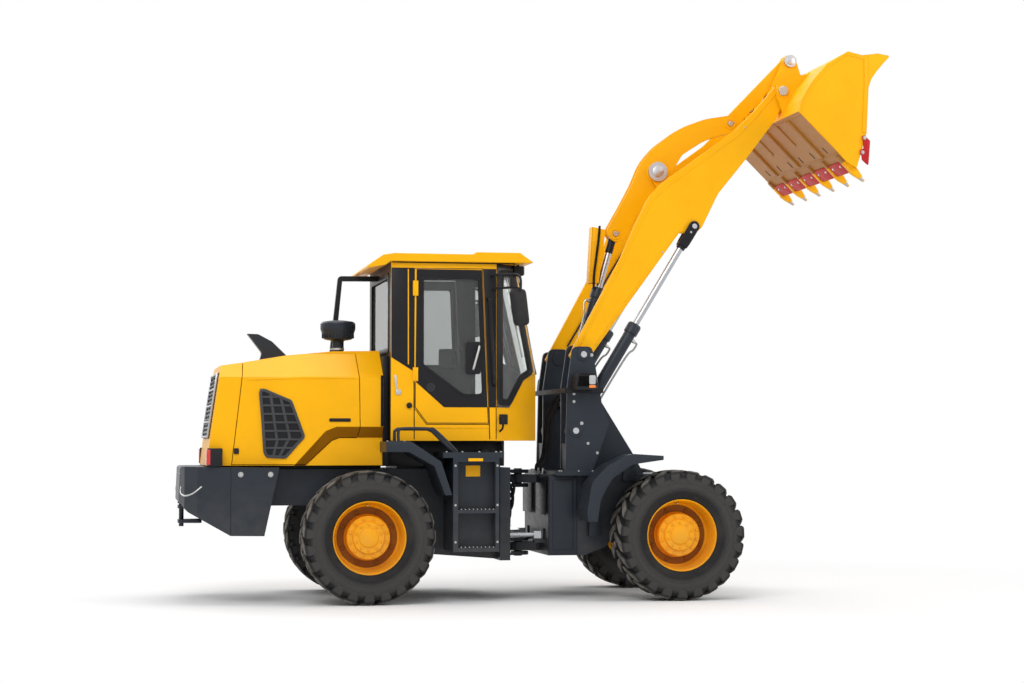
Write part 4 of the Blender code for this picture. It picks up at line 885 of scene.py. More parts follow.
def cab_door(side_name, side):
    body = f"cab_door_{side_name}"
    wall = cab_wall(side)
    border = Piece(f"door_black_border_{side_name}", "satin_black", body)
    for index in range(len(DOOR_WINDOW)):
        after = (index + 1) % len(DOOR_WINDOW)
        border.panel([DOOR_BORDER[index], DOOR_BORDER[after], DOOR_WINDOW[after],
                      DOOR_WINDOW[index]], wall, 0.0025)
    border.ribbon(softened(DOOR_WINDOW, 0.04), 0.020, wall, 0.005)
    border.done()
    seal = Piece(f"door_lower_seam_{side_name}", "hose", body)
    seal.ribbon([(0.402, 1.800), (0.402, 1.600), (0.500, 1.468), (1.012, 1.468),
                 (1.006, 1.600)], 0.006, wall, 0.0015, closed=False)
    seal.done()
    plate = Piece(f"door_handle_plate_{side_name}", "plastic", body)
    plate.panel(softened([(0.820, 1.872), (0.947, 1.872), (0.943, 2.142), (0.820, 2.138)], 0.02),
                wall, 0.012)
    plate.done(bevel=0.003)
    handle = Piece(f"door_handle_{side_name}", "zinc", body)
    handle.tube([(0.930, side * 0.712, 2.100), (0.928, side * 0.735, 2.085),
                 (0.885, side * 0.738, 1.930), (0.880, side * 0.712, 1.905)], 0.011)
    handle.done()
    vent = Piece(f"door_vent_{side_name}", "grille_bar", body)
    for radius in (0.032, 0.021, 0.010):
        vent.ribbon([(0.530 + radius * math.cos(a), 1.762 + radius * math.sin(a))
                     for a in (2 * math.pi * i / 24 for i in range(24))], 0.005, wall, 0.005)
    vent.done()
    hinges = Piece(f"door_hinges_{side_name}", "yellow", body)
    low, high = sorted((side * 0.7005, side * 0.714))
    for z_low, z_high in ((1.812, 1.925), (2.515, 2.640)):
        hinges.box((0.386, low, z_low), (0.424, high, z_high))
        hinges.turned([(0.0, 0.011), (z_high - z_low, 0.011)],
                      aimed(P(0.390, side * 0.709, z_low), (0.0, 0.0, 1.0)), 16)
    hinges.done(bevel=0.002)


def cab_side_trim(side_name, side):
    wall = cab_wall(side)
    black = Piece(f"cab_corner_post_{side_name}", "satin_black", "rear_frame")
    black.panel([(0.203, 2.008), (0.392, 1.890), (0.392, 2.745), (0.203, 2.745)], wall, 0.003)
    black.panel([(1.018, 1.598), (1.078, 1.598), (1.078, 2.745), (0.968, 2.745)], wall, 0.003)
    black.panel([(1.082, 2.700), (1.250, 2.700), (1.266, 2.790), (1.082, 2.790)], wall, 0.003)
    black.panel([(1.082, 1.598), (1.210, 1.598), (1.340, 1.815), (1.330, 1.850),
                 (1.200, 1.640), (1.082, 1.640)], wall, 0.003)
    black.ribbon(softened(QUARTER_WINDOW, 0.03), 0.056, wall, 0.010)
    black.done(bevel=0.001)
    bright = Piece(f"cab_corner_lines_{side_name}", "yellow", "rear_frame")
    bright.ribbon([(0.344, 1.950), (0.342, 2.735)], 0.009, wall, 0.006, closed=False)
    bright.done()
    latch = Piece(f"cab_side_latch_{side_name}", "plastic", "rear_frame")
    latch.panel(softened([(1.108, 1.458), (1.190, 1.458), (1.190, 1.542), (1.108, 1.542)],
                         0.010), wall, 0.008)
    latch.turned([(0.0, 0.024), (0.012, 0.024), (0.018, 0.018), (0.020, 0.001)],
                 aimed(P(0.352, side * 0.700, 1.612), (0.0, side, 0.0)), 24)
    latch.done(bevel=0.002)
    clip = Piece(f"cab_side_clip_{side_name}", "zinc", "rear_frame")
    clip.panel([(0.228, 1.860), (0.248, 1.860), (0.262, 1.700), (0.242, 1.700)], wall, 0.006)
    clip.panel([(0.242, 1.740), (0.282, 1.740), (0.282, 1.700), (0.242, 1.700)], wall, 0.010)
    clip.done(bevel=0.0015)
    seams = Piece(f"cab_body_seams_{side_name}", "hose", "rear_frame")
    seams.ribbon([(0.394, 1.335), (0.392, 1.890)], 0.008, wall, 0.0015, closed=False)
    seams.ribbon([(1.024, 1.335), (1.018, 1.598)], 0.008, wall, 0.0015, closed=False)
    seams.ribbon([(1.078, 1.335), (1.078, 1.598)], 0.006, wall, 0.0015, closed=False)
    seams.done()
    crease = Piece(f"cab_body_crease_{side_name}", "cab_yellow", "rear_frame")
    crease.ribbon([(0.230, 1.415), (0.480, 1.415), (0.520, 1.432), (1.020, 1.432)], 0.012,
                  wall, 0.003, closed=False)
    crease.done(bevel=0.0008)
    rail = Piece(f"grab_rail_{side_name}", "satin_black", "rear_frame")
    rail.tube([(1.006, side * 0.701, 2.490), (1.010, side * 0.740, 2.488),
               (1.014, side * 0.755, 2.450), (1.040, side * 0.755, 2.000),
               (1.052, side * 0.755, 1.820), (1.056, side * 0.740, 1.786),
               (1.056, side * 0.701, 1.784)], 0.0155)
    rail.done()
    rail_lower = Piece(f"grab_rail_lower_{side_name}", "satin_black", "rear_frame")
    rail_lower.tube([(1.115, side * 0.669, 1.520), (1.130, side * 0.720, 1.500),
                     (1.130, side * 0.720, 1.430), (1.115, side * 0.669, 1.400)], 0.009)
    rail_lower.done()
    lamp = Piece(f"roof_lamp_case_{side_name}", "plastic", "rear_frame")
    lamp.box((1.255, side * 0.52 - 0.055, 2.705), (1.340, side * 0.52 + 0.055, 2.785))
    lamp.box((1.285, side * 0.52 - 0.012, 2.780), (1.310, side * 0.52 + 0.012, 2.799))
    lamp.done(bevel=0.008)
    bulb = Piece(f"roof_lamp_lens_{side_name}", "clear_lens", "rear_frame")
    bulb.box((1.338, side * 0.52 - 0.047, 2.713), (1.346, side * 0.52 + 0.047, 2.777))
    bulb.done(bevel=0.003)


def mirror(side_name, side):
    turn = Matrix.Rotation(math.radians(50.0 * side), 4, "Z")
    lean = Matrix.Rotation(math.radians(-7.0), 4, "Y")
    place = Matrix.Translation(P(1.232, side * 0.95, 2.415)) @ lean @ turn
    outline = softened([(-0.095, -0.150), (0.095, -0.150), (0.098, 0.150), (-0.098, 0.150)],
                       0.045, 6)
    shell = Piece(f"mirror_shell_{side_name}", "plastic", "rear_frame")
    rings = []
    for depth, share in ((-0.020, 0.96), (-0.014, 1.0), (0.004, 0.98), (0.020, 0.78),
                         (0.0245, 0.50)):
        rings.append([(depth, u * share, v * share) for u, v in outline])
    shell.loft(rings, place)
    shell.tube([(1.045, side * 0.701, 2.690), (1.045, side * 0.760, 2.690),
                (1.130, side * 0.830, 2.690), (1.210, side * 0.900, 2.686),
                (1.236, side * 0.945, 2.640), (1.230, side * 0.95, 2.480)], 0.011)
    shell.tube([(1.052, side * 0.701, 2.580), (1.062, side * 0.760, 2.580),
                (1.140, side * 0.835, 2.582), (1.206, side * 0.895, 2.584),
                (1.228, side * 0.94, 2.560)], 0.010)
    for share in (0.35, 0.75):
        x, y = 1.060 + 0.150 * share, side * (0.762 + 0.138 * share)
        shell.tube([(x, y, 2.582), (x, y, 2.635), (x, y, 2.688)], 0.009)
    shell.done(replaces=(f"mirror_{side_name}",), sharp=50.0)
    face = Piece(f"mirror_face_{side_name}", "mirror", "rear_frame")
    face.loft([[(depth, u * 0.88, v * 0.92) for u, v in outline] for depth in (-0.0225, -0.018)],
              place)
    face.done()


def cab_details():
    for side_name, side in SIDES:
        cab_door(side_name, side)
        cab_side_trim(side_name, side)
        mirror(side_name, side)
    header = Piece("windscreen_frame", "satin_black", "rear_frame")

    def slope(z):
        return 1.485 - (z - 1.87) * (1.485 - 1.2718) / 0.925

    for y_low, y_high in ((-0.345, -0.300), (0.300, 0.345)):
        header.prism([(slope(1.90) + 0.008, 1.90), (slope(1.90) + 0.014, 1.90),
                      (slope(2.76) + 0.014, 2.76), (slope(2.76) + 0.008, 2.76)], y_low, y_high)
    for z_low, z_high in ((1.885, 1.915), (2.715, 2.760)):
        header.prism([(slope(z_low) + 0.008, z_low), (slope(z_low) + 0.014, z_low),
                      (slope(z_high) + 0.014, z_high), (slope(z_high) + 0.008, z_high)],
                     -0.345, 0.345)
    header.done()
    wiper = Piece("windscreen_wiper", "satin_black", "rear_frame")
    wiper.tube([(slope(2.72) + 0.022, 0.05, 2.72), (slope(2.55) + 0.030, 0.08, 2.55),
                (slope(2.28) + 0.026, 0.10, 2.28)], 0.006)
    wiper.tube([(slope(2.50) + 0.020, 0.10, 2.50), (slope(2.05) + 0.020, 0.105, 2.05)], 0.007)
    wiper.done()
    rear = Piece("rear_window_frame", "satin_black", "rear_frame")

    def back(y, z, out):
        return P(0.20 - out, y, z)

    rear.ribbon(softened([(-0.555, 2.065), (0.555, 2.065), (0.555, 2.695), (-0.555, 2.695)],
                         0.05), 0.050, back, 0.006)
    rear.done(bevel=0.001)
    # Painted shade: black blocks fill the gap between hood and cab and the space under the cab
    # floor.
    gap = Piece("cab_and_hood_gap_painted_shade", "satin_black", "rear_frame")
    gap.box((0.1505, -0.560, 1.120), (0.199, 0.560, 2.020))
    gap.box((0.160, -0.470, 1.112), (1.190, 0.470, 1.3215))
    gap.done(bevel=0.004)
    gutter = Piece("roof_gutter_seal", "hose", "rear_frame")
    for _, side in SIDES:
        low, high = sorted((side * 0.700, side * 0.716))
        gutter.box((0.210, low, 2.7865), (1.240, high, 2.7945))
    gutter.done()
    hatch = Piece("roof_hatch_seams", "hose", "rear_frame")
    for x in (0.30, 0.60):
        hatch.box((x, -0.62, 2.8605), (x + 0.006, 0.62, 2.8625))
    hatch.done()


cab_details()


# ---------------------------------------------------------------- seat and controls
def padded_block(name, low, high, crown, pinch, matrix, body="rear_frame", channels=0):
    """A crowned cushion: its sides pull in between its corners and its top swells."""
    bm = bmesh.new()
    bmesh.ops.create_cube(bm, size=1.0)
    bmesh.ops.subdivide_edges(bm, edges=bm.edges, cuts=19, use_grid_fill=True)
    size = Vector(high) - Vector(low)
    middle = (Vector(high) + Vector(low)) / 2
    for vert in bm.verts:
        u, v, w = (2.0 * c for c in vert.co)
        dome = (1 - u ** 4) * (1 - v ** 4)
        x = u * (1 - pinch * (1 - v * v) * abs(w) ** 0.5 * 0.5) * (1 - 0.05 * w * w)
        y = v * (1 - pinch * (1 - u * u) * abs(w) ** 0.5 * 0.5) * (1 - 0.05 * w * w)
        z = w * (0.72 + 0.28 * dome)
        place = Vector((x * size.x, y * size.y, z * size.z)) / 2 + middle
        if w > 0.6:
            place.z += crown * dome
            if channels:
                groove = abs(math.sin(math.pi * channels * (v + 1) / 2))
                place.z -= 0.008 * math.exp(-(groove / 0.22) ** 2) * (1 - u ** 6)
        vert.co = matrix @ place
    made = Piece(name, "cloth", body)
    made.bm.free()
    made.bm = bm
    cushion = made.done(sharp=80.0)
    return cushion


def seat():
    base = Matrix.Translation(P(0.640, 0.0, 1.800)) @ Matrix.Rotation(math.radians(-2.0), 4, "Y")
    cushion = padded_block("seat_cushion", (-0.22, -0.225, -0.038), (0.22, 0.225, 0.040), 0.012,
                           0.06, base, channels=4)
    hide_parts("seat")
    lean = Matrix.Translation(P(0.405, 0.0, 2.110)) @ Matrix.Rotation(math.radians(81.0), 4, "Y")
    padded_block("seat_back", (-0.285, -0.212, -0.034), (0.285, 0.212, 0.034), 0.012, 0.07, lean,
                 channels=4)
    shell = Piece("seat_shell", "plastic", "rear_frame")
    shell.prism([(0.360, 1.800), (0.378, 1.800), (0.330, 2.380), (0.312, 2.380)], -0.205, 0.205)
    shell.box((0.430, -0.21, 1.742), (0.845, 0.21, 1.760))
    shell.done(bevel=0.006)
    for side_name, side in SIDES:
        rest = Piece(f"arm_rest_{side_name}", "plastic", "rear_frame")
        low, high = sorted((side * 0.285, side * 0.345))
        rest.box((0.46, low, 1.925), (0.80, high, 1.960))
        rest.done(bevel=0.012)
    levers = Piece("control_levers", "satin_black", "rear_frame")
    for x, y in ((0.86, -0.32), (0.82, -0.36), (0.90, 0.32)):
        levers.tube([(x, y, 1.915), (x + 0.01, y, 2.01), (x + 0.015, y, 2.075)], 0.006)
        levers.turned([(0.0, 0.010), (0.012, 0.018), (0.030, 0.020), (0.046, 0.014), (0.052, 0.002)],
                      aimed(P(x + 0.015, y, 2.068), (0.05, 0.0, 1.0)), 18)
    levers.done()
    turn = Matrix.Rotation(math.radians(-26.0), 4, "Y")
    wheel_frame = Matrix.Translation(P(0, 0, 0)) @ Matrix.Translation((1.085, 0.0, 2.045)) @ turn
    rim = Piece("steering_wheel_rim", "satin_black", "rear_frame")
    rim.loft([[(math.cos(a) * (0.1725 + 0.0125 * math.cos(b)),
                math.sin(a) * (0.1725 + 0.0125 * math.cos(b)), 0.0125 * math.sin(b))
               for b in (2 * math.pi * j / 12 for j in range(12))]
              for a in (2 * math.pi * i / 48 for i in range(48))], wheel_frame, loop=True)
    rim.turned([(0.012, 0.050), (0.026, 0.045), (0.030, 0.030), (0.031, 0.001)], wheel_frame, 32)
    rim.done()


seat()


# ---------------------------------------------------------------- sides of the rear frame
def tank_details(side_name, side):
    def span(near, far):
        return sorted((side * near, side * far))

    treads = Piece(f"tank_step_treads_{side_name}", "zinc", "rear_frame")
    low, high = span(0.815, 0.925)
    for z in (0.4552, 0.7622):
        for index in range(9):
            x = 0.745 + index * 0.033
            treads.box((x, low, z), (x + 0.010, high, z + 0.007))
    treads.done(bevel=0.001)
    nuts = Piece(f"deck_bolts_{side_name}", "zinc", "rear_frame")
    for x in (0.630, 0.760, 0.900, 1.040, 1.080):
        nuts.bolt((x, side * 0.90, 1.229), (0.0, 0.0, 1.0), 0.009)
    for z in (0.500, 0.800, 1.120):
        for x in (0.700, 1.046):
            nuts.bolt((x, side * 0.930, z), (0.0, side, 0.0), 0.007)
    nuts.done()
    label = Piece(f"blank_label_{side_name}", "yellow", "rear_frame")
    low, high = span(0.9300, 0.9320)
    label.box((0.806, low, 1.156), (0.926, high, 1.180))
    low, high = span(0.8000, 0.8020)
    label.box((0.806, low, 1.030), (0.926, high, 1.120))
    label.done()
    cap = Piece(f"tank_filler_cap_{side_name}", "satin_black", "rear_frame")
    cap.turned([(0.0, 0.040), (0.022, 0.040), (0.026, 0.036), (0.028, 0.001)],
               aimed(P(0.99, side * 0.60, 1.229), (0.0, 0.0, 1.0)), 28)
    cap.done()
    rail = Piece(f"deck_handrail_{side_name}", "slate_clean", "rear_frame")
    rail.tube([(0.235, side * 0.905, 1.318), (0.235, side * 0.905, 1.395),
               (0.262, side * 0.905, 1.420), (0.480, side * 0.905, 1.420),
               (0.540, side * 0.905, 1.402), (0.700, side * 0.905, 1.250),
               (0.706, side * 0.905, 1.228)], 0.0125, 14)
    rail.done()
    fender = Piece(f"rear_fender_lip_{side_name}", "slate_clean", "rear_frame")
    low, high = span(0.944, 0.952)
    fender.prism([(0.130, 1.232), (0.130, 1.318), (0.322, 1.318), (0.350, 1.306),
                  (0.580, 1.152), (0.670, 0.882), (0.612, 0.880), (0.524, 1.116),
                  (0.314, 1.232)], low, high)
    fender.done(bevel=0.002)
    flap = Piece(f"fender_bolts_{side_name}", "zinc", "rear_frame")
    for x in (0.16, 0.23, 0.30):
        flap.bolt((x, side * 0.80, 1.316), (0.0, 0.0, 1.0), 0.008)
    flap.done()


def counterweight_details():
    hitch = Piece("tow_hitch", "slate_clean", "rear_frame")
    for z in (0.640, 0.760):
        hitch.slab(softened([(-1.495, -0.09), (-1.300, -0.14), (-1.300, 0.14), (-1.495, 0.09)],
                            0.04), z, z + 0.028)
    hitch.turned([(-0.04, 0.020), (0.150, 0.020), (0.152, 0.032), (0.166, 0.032)],
                 aimed(P(-1.465, 0.0, 0.650), (0.0, 0.0, 1.0)), 24)
    hitch.done(bevel=0.002)
    seams = Piece("counterweight_bolts", "zinc", "rear_frame")
    for _, side in SIDES:
        for x in (-1.02, -0.78):
            seams.bolt((x, side * 0.720, 1.050), (0.0, side, 0.0), 0.016)
        for z in (0.90, 1.05):
            seams.bolt((-1.4945, side * 0.30, z), (-1.0, 0.0, 0.0), 0.0045)
    seams.done()
    grab = Piece("counterweight_cable", "zinc", "rear_frame")
    for _, side in SIDES:
        grab.tube([(-1.488, side * 0.50, 0.950), (-1.4915, side * 0.56, 0.900),
                   (-1.460, side * 0.660, 0.880), (-1.400, side * 0.722, 0.900),
                   (-1.330, side * 0.724, 0.955)], 0.006)
    grab.done()
    edge = Piece("counterweight_seam", "hose", "rear_frame")
    for _, side in SIDES:
        low, high = sorted((side * 0.7195, side * 0.7212))
        edge.prism([(-1.100, 0.570), (-1.096, 0.570), (-1.096, 1.100), (-1.100, 1.100)],
                   low, high)
    edge.done()


# y, top height and half the drop of each hose loop on the bulkhead
HOSE_RUNS = ((-0.36, 1.02, 0.10), (-0.31, 0.96, 0.13), (-0.25, 0.90, 0.09),
             (-0.19, 0.84, 0.12), (0.20, 0.98, 0.12), (0.30, 0.90, 0.10))


def chassis_plumbing():
    """Hoses and pipes in the gap between the two frames."""
    lines = Piece("chassis_hoses", "hose", "rear_frame")
    for y, z, drop in HOSE_RUNS:
        lines.tube([(1.218, y, z), (1.258, y, z + 0.002), (1.290, y * 0.98, z - drop * 0.5),
                    (1.298, y * 0.97, z - drop), (1.282, y * 0.97, z - drop * 1.6),
                    (1.218, y * 0.97, z - drop * 2.0)], 0.012)
    lines.done()
    ends = Piece("chassis_hose_fittings", "zinc", "rear_frame")
    for y, z, drop in HOSE_RUNS:
        for fy, fz in ((y, z), (y * 0.97, z - drop * 2.0)):
            ends.turned([(0.0, 0.017), (0.018, 0.017), (0.019, 0.0145), (0.036, 0.0145)],
                        aimed(P(1.217, fy, fz), (1.0, 0.0, 0.0)), 14)
    ends.done()
    valve = Piece("chassis_valve_block", "slate_clean", "rear_frame")
    valve.box((1.2175, -0.32, 0.62), (1.275, -0.20, 0.76))
    valve.box((1.2175, 0.20, 0.62), (1.275, 0.32, 0.76))
    valve.box((1.2175, -0.32, 0.93), (1.250, -0.20, 1.03))
    valve.done(bevel=0.004)
    bolts = Piece("bulkhead_bolts", "zinc", "rear_frame")
    for _, side in SIDES:
        for z in (0.40, 0.62, 0.84, 1.05):
            bolts.bolt((1.2172, side * 0.578, z), (1.0, 0.0, 0.0), 0.010)
    bolts.done()
    sills = Piece("hood_sill_seals", "hose", "rear_frame")
    for _, side in SIDES:
        low, high = sorted((side * 0.440, side * 0.500))
        sills.box((-1.250, low, 1.095), (0.145, high, 1.150))
    sills.done(bevel=0.004)
    under = Piece("cab_floor_pipes", "satin_black", "rear_frame")
    for index, y in enumerate((-0.46, -0.50, -0.54)):
        under.tube([(1.150, y, 1.318), (1.160, y, 1.270), (1.155, y * 0.99, 1.200),
                    (1.135, y * 0.98, 1.150), (1.135, y * 0.98, 1.102)], 0.0095)
    under.done()


for side_label, side_sign in SIDES:
    tank_details(side_label, side_sign)
counterweight_details()
chassis_plumbing()


# ---------------------------------------------------------------- front frame
def pin_head(piece, keeper, pivot, y, side, radius, aside):
    """A pin's end, and the bolt that holds its keeper."""
    piece.turned([(0.0, radius), (0.005, radius), (0.007, radius * 0.94),
                  (0.008, radius * 0.55), (0.0065, radius * 0.35), (0.0065, 0.001)],
                 aimed(P(pivot[0], y, pivot[1]), (0.0, side, 0.0)), 32)
    keeper.bolt((pivot[0] + aside[0], y - side * 0.0065, pivot[1] + aside[1]),
                (0.0, side, 0.0), 0.011)


def front_details():
    body = "front_frame"
    pins = Piece("tower_pin_ends", "steel", body)
    keepers = Piece("tower_pin_keepers", "zinc", body)
    for _, side in SIDES:
        pin_head(pins, keepers, BOOM_PIVOT, side * 0.6122, side, 0.027, (0.068, -0.004))
        pin_head(pins, keepers, LIFT_BASE, side * 0.6122, side, 0.027, (0.050, 0.062))
        for x, z in ((1.760, 1.650), (1.760, 1.715), (1.880, 1.300), (1.960, 1.220)):
            keepers.bolt((x, side * 0.605, z), (0.0, side, 0.0), 0.009)
        for x in (1.640, 1.660, 1.800, 1.920):
            keepers.bolt((x, side * 0.570 if x < 1.67 else side * 0.598, 1.066),
                         (0.0, 0.0, 1.0), 0.009)
    pins.done()
    keepers.done()
    bosses = Piece("tower_pin_bosses", "slate_clean", body)
    for _, side in SIDES:
        for pivot in (BOOM_PIVOT, LIFT_BASE):
            bosses.across(pivot, [(side * 0.6045, 0.056), (side * 0.6105, 0.056),
                                  (side * 0.6115, 0.054)], 36)
            bosses.across(pivot, [(side * 0.3545, 0.060), (side * 0.3470, 0.060),
                                  (side * 0.3465, 0.050)], 36)
    bosses.done(sharp=40.0)
    gussets = Piece("tower_gussets", "slate", body)
    for _, side in SIDES:
        low, high = sorted((side * 0.385, side * 0.575))
        gussets.prism([(1.700, 1.067), (1.716, 1.067), (1.716, 1.300), (1.700, 1.300)], low, high)
        gussets.box((2.080, low, 1.041), (2.100, high, 1.120))
    gussets.done(bevel=0.002)
    belt = Piece("tower_strap", "grey", body)
    belt.box((1.6700, -0.535, 1.728), (1.6745, 0.535, 1.756))
    belt.done()
    hoses = Piece("tower_hoses", "hose", body)
    for y, reach in ((-0.130, 0.0), (-0.095, 0.010), (-0.060, 0.0),
                     (0.060, 0.0), (0.095, 0.010), (0.130, 0.0)):
        hoses.tube([(1.590, y, 1.041), (1.590, y, 1.110), (1.640 + reach, y, 1.180),
                    (1.660 + reach, y, 1.330), (1.680 + reach, y, 1.520),
                    (1.720 + reach, y, 1.640), (1.765, y, 1.715)], 0.0115)
    hoses.done()
    fittings = Piece("tower_hose_fittings", "zinc", body)
    for y in (-0.130, -0.095, -0.060, 0.060, 0.095, 0.130):
        fittings.turned([(0.0, 0.016), (0.020, 0.016), (0.021, 0.013), (0.048, 0.013)],
                        aimed(P(1.590, y, 1.040), (0.0, 0.0, 1.0)), 14)
    fittings.done()
    # Painted shade: satin-black plates on the front frame's rear face, in the gap between the
    # frames, darker than its dusty slate.
    cover = Piece("front_frame_rear_painted_shade", "satin_black", body)
    for low, high in ((-0.485, -0.10), (0.10, 0.485)):
        cover.box((1.5405, low, 0.700), (1.5445, high, 1.020))
    cover.done(bevel=0.002)
    blocks = Piece("front_frame_side_panel", "slate_clean", body)
    for _, side in SIDES:
        low, high = sorted((side * 0.500, side * 0.514))
        blocks.prism(softened([(1.566, 0.372), (1.805, 0.372), (1.805, 1.028), (1.566, 1.028)],
                              0.012), low, high)
        low, high = sorted((side * 0.513, side * 0.520))
        blocks.prism(softened([(1.596, 0.408), (1.772, 0.408), (1.772, 0.994), (1.596, 0.994)],
                              0.015), low, high)
        low, high = sorted((side * 0.500, side * 0.560))
        blocks.box((1.900, low, 0.520), (2.000, high, 0.700))
    blocks.done(bevel=0.003)
    for side_name, side in SIDES:
        low, high = sorted((side * 0.61, side * 0.80))
        case = Piece(f"headlight_case_{side_name}", "plastic", body)
        case.prism(softened([(1.735, 1.765), (1.906, 1.765), (1.912, 1.880), (1.760, 1.888)],
                            0.02), low, high)
        case.done(bevel=0.006)
        clear = Piece(f"headlight_lens_{side_name}", "clear_lens", body)
        clear.box((1.908, side * 0.705 - 0.078, 1.790), (1.9185, side * 0.705 + 0.078, 1.874))
        clear.prism(softened([(1.846, 1.790), (1.900, 1.790), (1.902, 1.866), (1.846, 1.866)],
                             0.014), *sorted((side * 0.798, side * 0.8035)))
        clear.done(bevel=0.003)
        amber = Piece(f"headlight_amber_{side_name}", "orange_lens", body)
        amber.box((1.906, side * 0.705 - 0.078, 1.762), (1.9165, side * 0.705 + 0.078, 1.784))
        amber.prism([(1.846, 1.762), (1.900, 1.762), (1.900, 1.784), (1.846, 1.784)],
                    *sorted((side * 0.798, side * 0.803)))
        amber.done(bevel=0.002)
        low, high = sorted((side * 0.944, side * 0.952))
        lip = Piece(f"front_fender_lip_{side_name}", "slate_clean", body)
        lip.prism([(2.442, 1.164), (2.442, 1.198), (2.185, 1.214), (2.110, 1.194),
                   (1.960, 1.112), (1.862, 1.012), (1.830, 0.960), (1.791, 0.750),
                   (1.801, 0.658), (1.882, 0.658), (1.902, 0.810), (1.932, 0.900),
                   (2.008, 1.010), (2.090, 1.076), (2.188, 1.128)], low, high)
        lip.done(bevel=0.002)
        nuts = Piece(f"front_fender_bolts_{side_name}", "zinc", body)
        nuts.bolt((2.300, side * 0.80, 1.203), (0.07, 0.0, 1.0), 0.008)
        nuts.bolt((2.300, side * 0.68, 1.203), (0.07, 0.0, 1.0), 0.008)
        nuts.done()
    bracket = Piece("fender_brackets", "slate", body)
    for _, side in SIDES:
        low, high = sorted((side * 0.500, side * 0.6106))
        bracket.box((1.860, low, 0.780), (1.885, high, 0.900))
        bracket.box((2.200, low, 1.150), (2.320, high, 1.172))
        low, high = sorted((side * 0.500, side * 0.530))
        bracket.box((2.200, low, 0.980), (2.320, high, 1.172))
    bracket.done(bevel=0.002)


front_details()


# ---------------------------------------------------------------- cylinders
def barrel(name, body, frame_at, length, radius, node, ear, under=-1):
    made = Piece(f"{name}_barrel", "slate_clean", body)
    made.turned([(0.045, radius * 0.80), (0.060, radius), (length - 0.090, radius),
                 (length - 0.088, radius * 1.20), (length - 0.012, radius * 1.20),
                 (length - 0.004, radius * 1.12), (length + 0.003, radius * 1.02),
                 (length + 0.003, 0.0330), (length - 0.06, 0.0320), (0.150, 0.0320),
                 (0.150, 0.0300)], frame_at, 44)
    made.turned([(-ear[1], ear[2]), (-ear[1], ear[0] * 0.96), (-ear[1] + 0.003, ear[0]),
                 (ear[1] - 0.003, ear[0]), (ear[1], ear[0] * 0.96), (ear[1], ear[2])],
                frame_at @ Matrix.Rotation(math.pi / 2, 4, "X"), 40, loop=True)
    made.done(replaces=(node,), sharp=38.0)
    ports = Piece(f"{name}_ports", "zinc", body)
    for height in (0.110, length - 0.130):
        spot = frame_at @ Matrix.Translation((under * radius * 0.9, 0.0, height))
        ports.turned([(0.0, 0.016), (0.022, 0.016), (0.023, 0.012), (0.036, 0.012)],
                     spot @ Matrix.Rotation(under * math.pi / 2, 4, "Y"), 16)
    ports.done()


def local_tube(piece, frame_at, points, radius, segments=10, swell=None):
    placed = []
    for point in points:
        spot = frame_at @ Vector(point)
        placed.append((spot.x + OFFSET, spot.y, spot.z))
    piece.tube(placed, radius, segments, swell=swell)


def lift_cylinder(side_name, side):
    y = side * 0.48
    at = in_plane(LIFT_BASE, LIFT_EYE, y)
    length = (Vector(LIFT_EYE) - Vector(LIFT_BASE)).length
    name = f"lift_cylinder_{side_name}"
    barrel(name, name, at, 1.055, 0.050, name, (0.062, 0.045, 0.0425), 1)
    hose = Piece(f"{name}_braided_hose", "grey", name)
    local_tube(hose, at, [(0.083, 0.0, 0.925), (0.098, 0.0, 0.915), (0.096, side * 0.004, 0.86),
                          (0.074, side * 0.010, 0.80), (0.066, side * 0.012, 0.60),
                          (0.066, side * 0.012, 0.22), (0.078, side * 0.004, 0.14),
                          (0.083, 0.0, 0.112)], 0.0085, 10,
               swell=lambda index: 1.0 if index % 2 else 1.10)
    hose.done()
    rod_name = f"lift_rod_{side_name}"
    rod = Piece(f"{rod_name}_chrome", "chrome", rod_name)
    rod.turned([(length - 1.13, 0.0270), (length - 1.12, 0.0275), (length - 0.205, 0.0275),
                (length - 0.204, 0.0265)], at, 44)
    rod.done(replaces=(rod_name,), sharp=30.0)
    clevis = Piece(f"{rod_name}_clevis", "satin_black", rod_name)
    clevis.turned([(length - 0.225, 0.034), (length - 0.222, 0.038), (length - 0.180, 0.040),
                   (length - 0.164, 0.040)], at, 36)
    tine = [(-0.040, -0.200), (0.040, -0.200), (0.045, -0.150), (0.046, 0.0)]
    tine += [(0.046 * math.cos(a), 0.046 * math.sin(a))
             for a in (math.pi * i / 14 for i in range(1, 14))]
    tine += [(-0.046, 0.0), (-0.045, -0.150)]
    for near, far in ((0.030, 0.048), (-0.048, -0.030)):
        clevis.loft([[(u, v, length + w) for u, w in tine] for v in (near, far)], at)
    clevis.loft([[(u, v, length + w) for u, w in
                  ((-0.040, -0.200), (0.040, -0.200), (0.042, -0.166), (-0.042, -0.166))]
                 for v in (-0.030, 0.030)], at)
    clevis.done(bevel=0.0025)
    pins = Piece(f"{rod_name}_pin", "steel", rod_name)
    for facing in (-1, 1):
        pins.turned([(0.0, 0.022), (0.010, 0.022), (0.012, 0.020), (0.012, 0.001)],
                    at @ Matrix.Translation((0.0, facing * 0.047, length))
                    @ Matrix.Rotation(-facing * math.pi / 2, 4, "X"), 28)
    spot = at @ Vector((0.0, side * 0.048, length - 0.060))
    pins.bolt((spot.x + OFFSET, spot.y, spot.z), (0.0, side, 0.0), 0.007)
    pins.done()


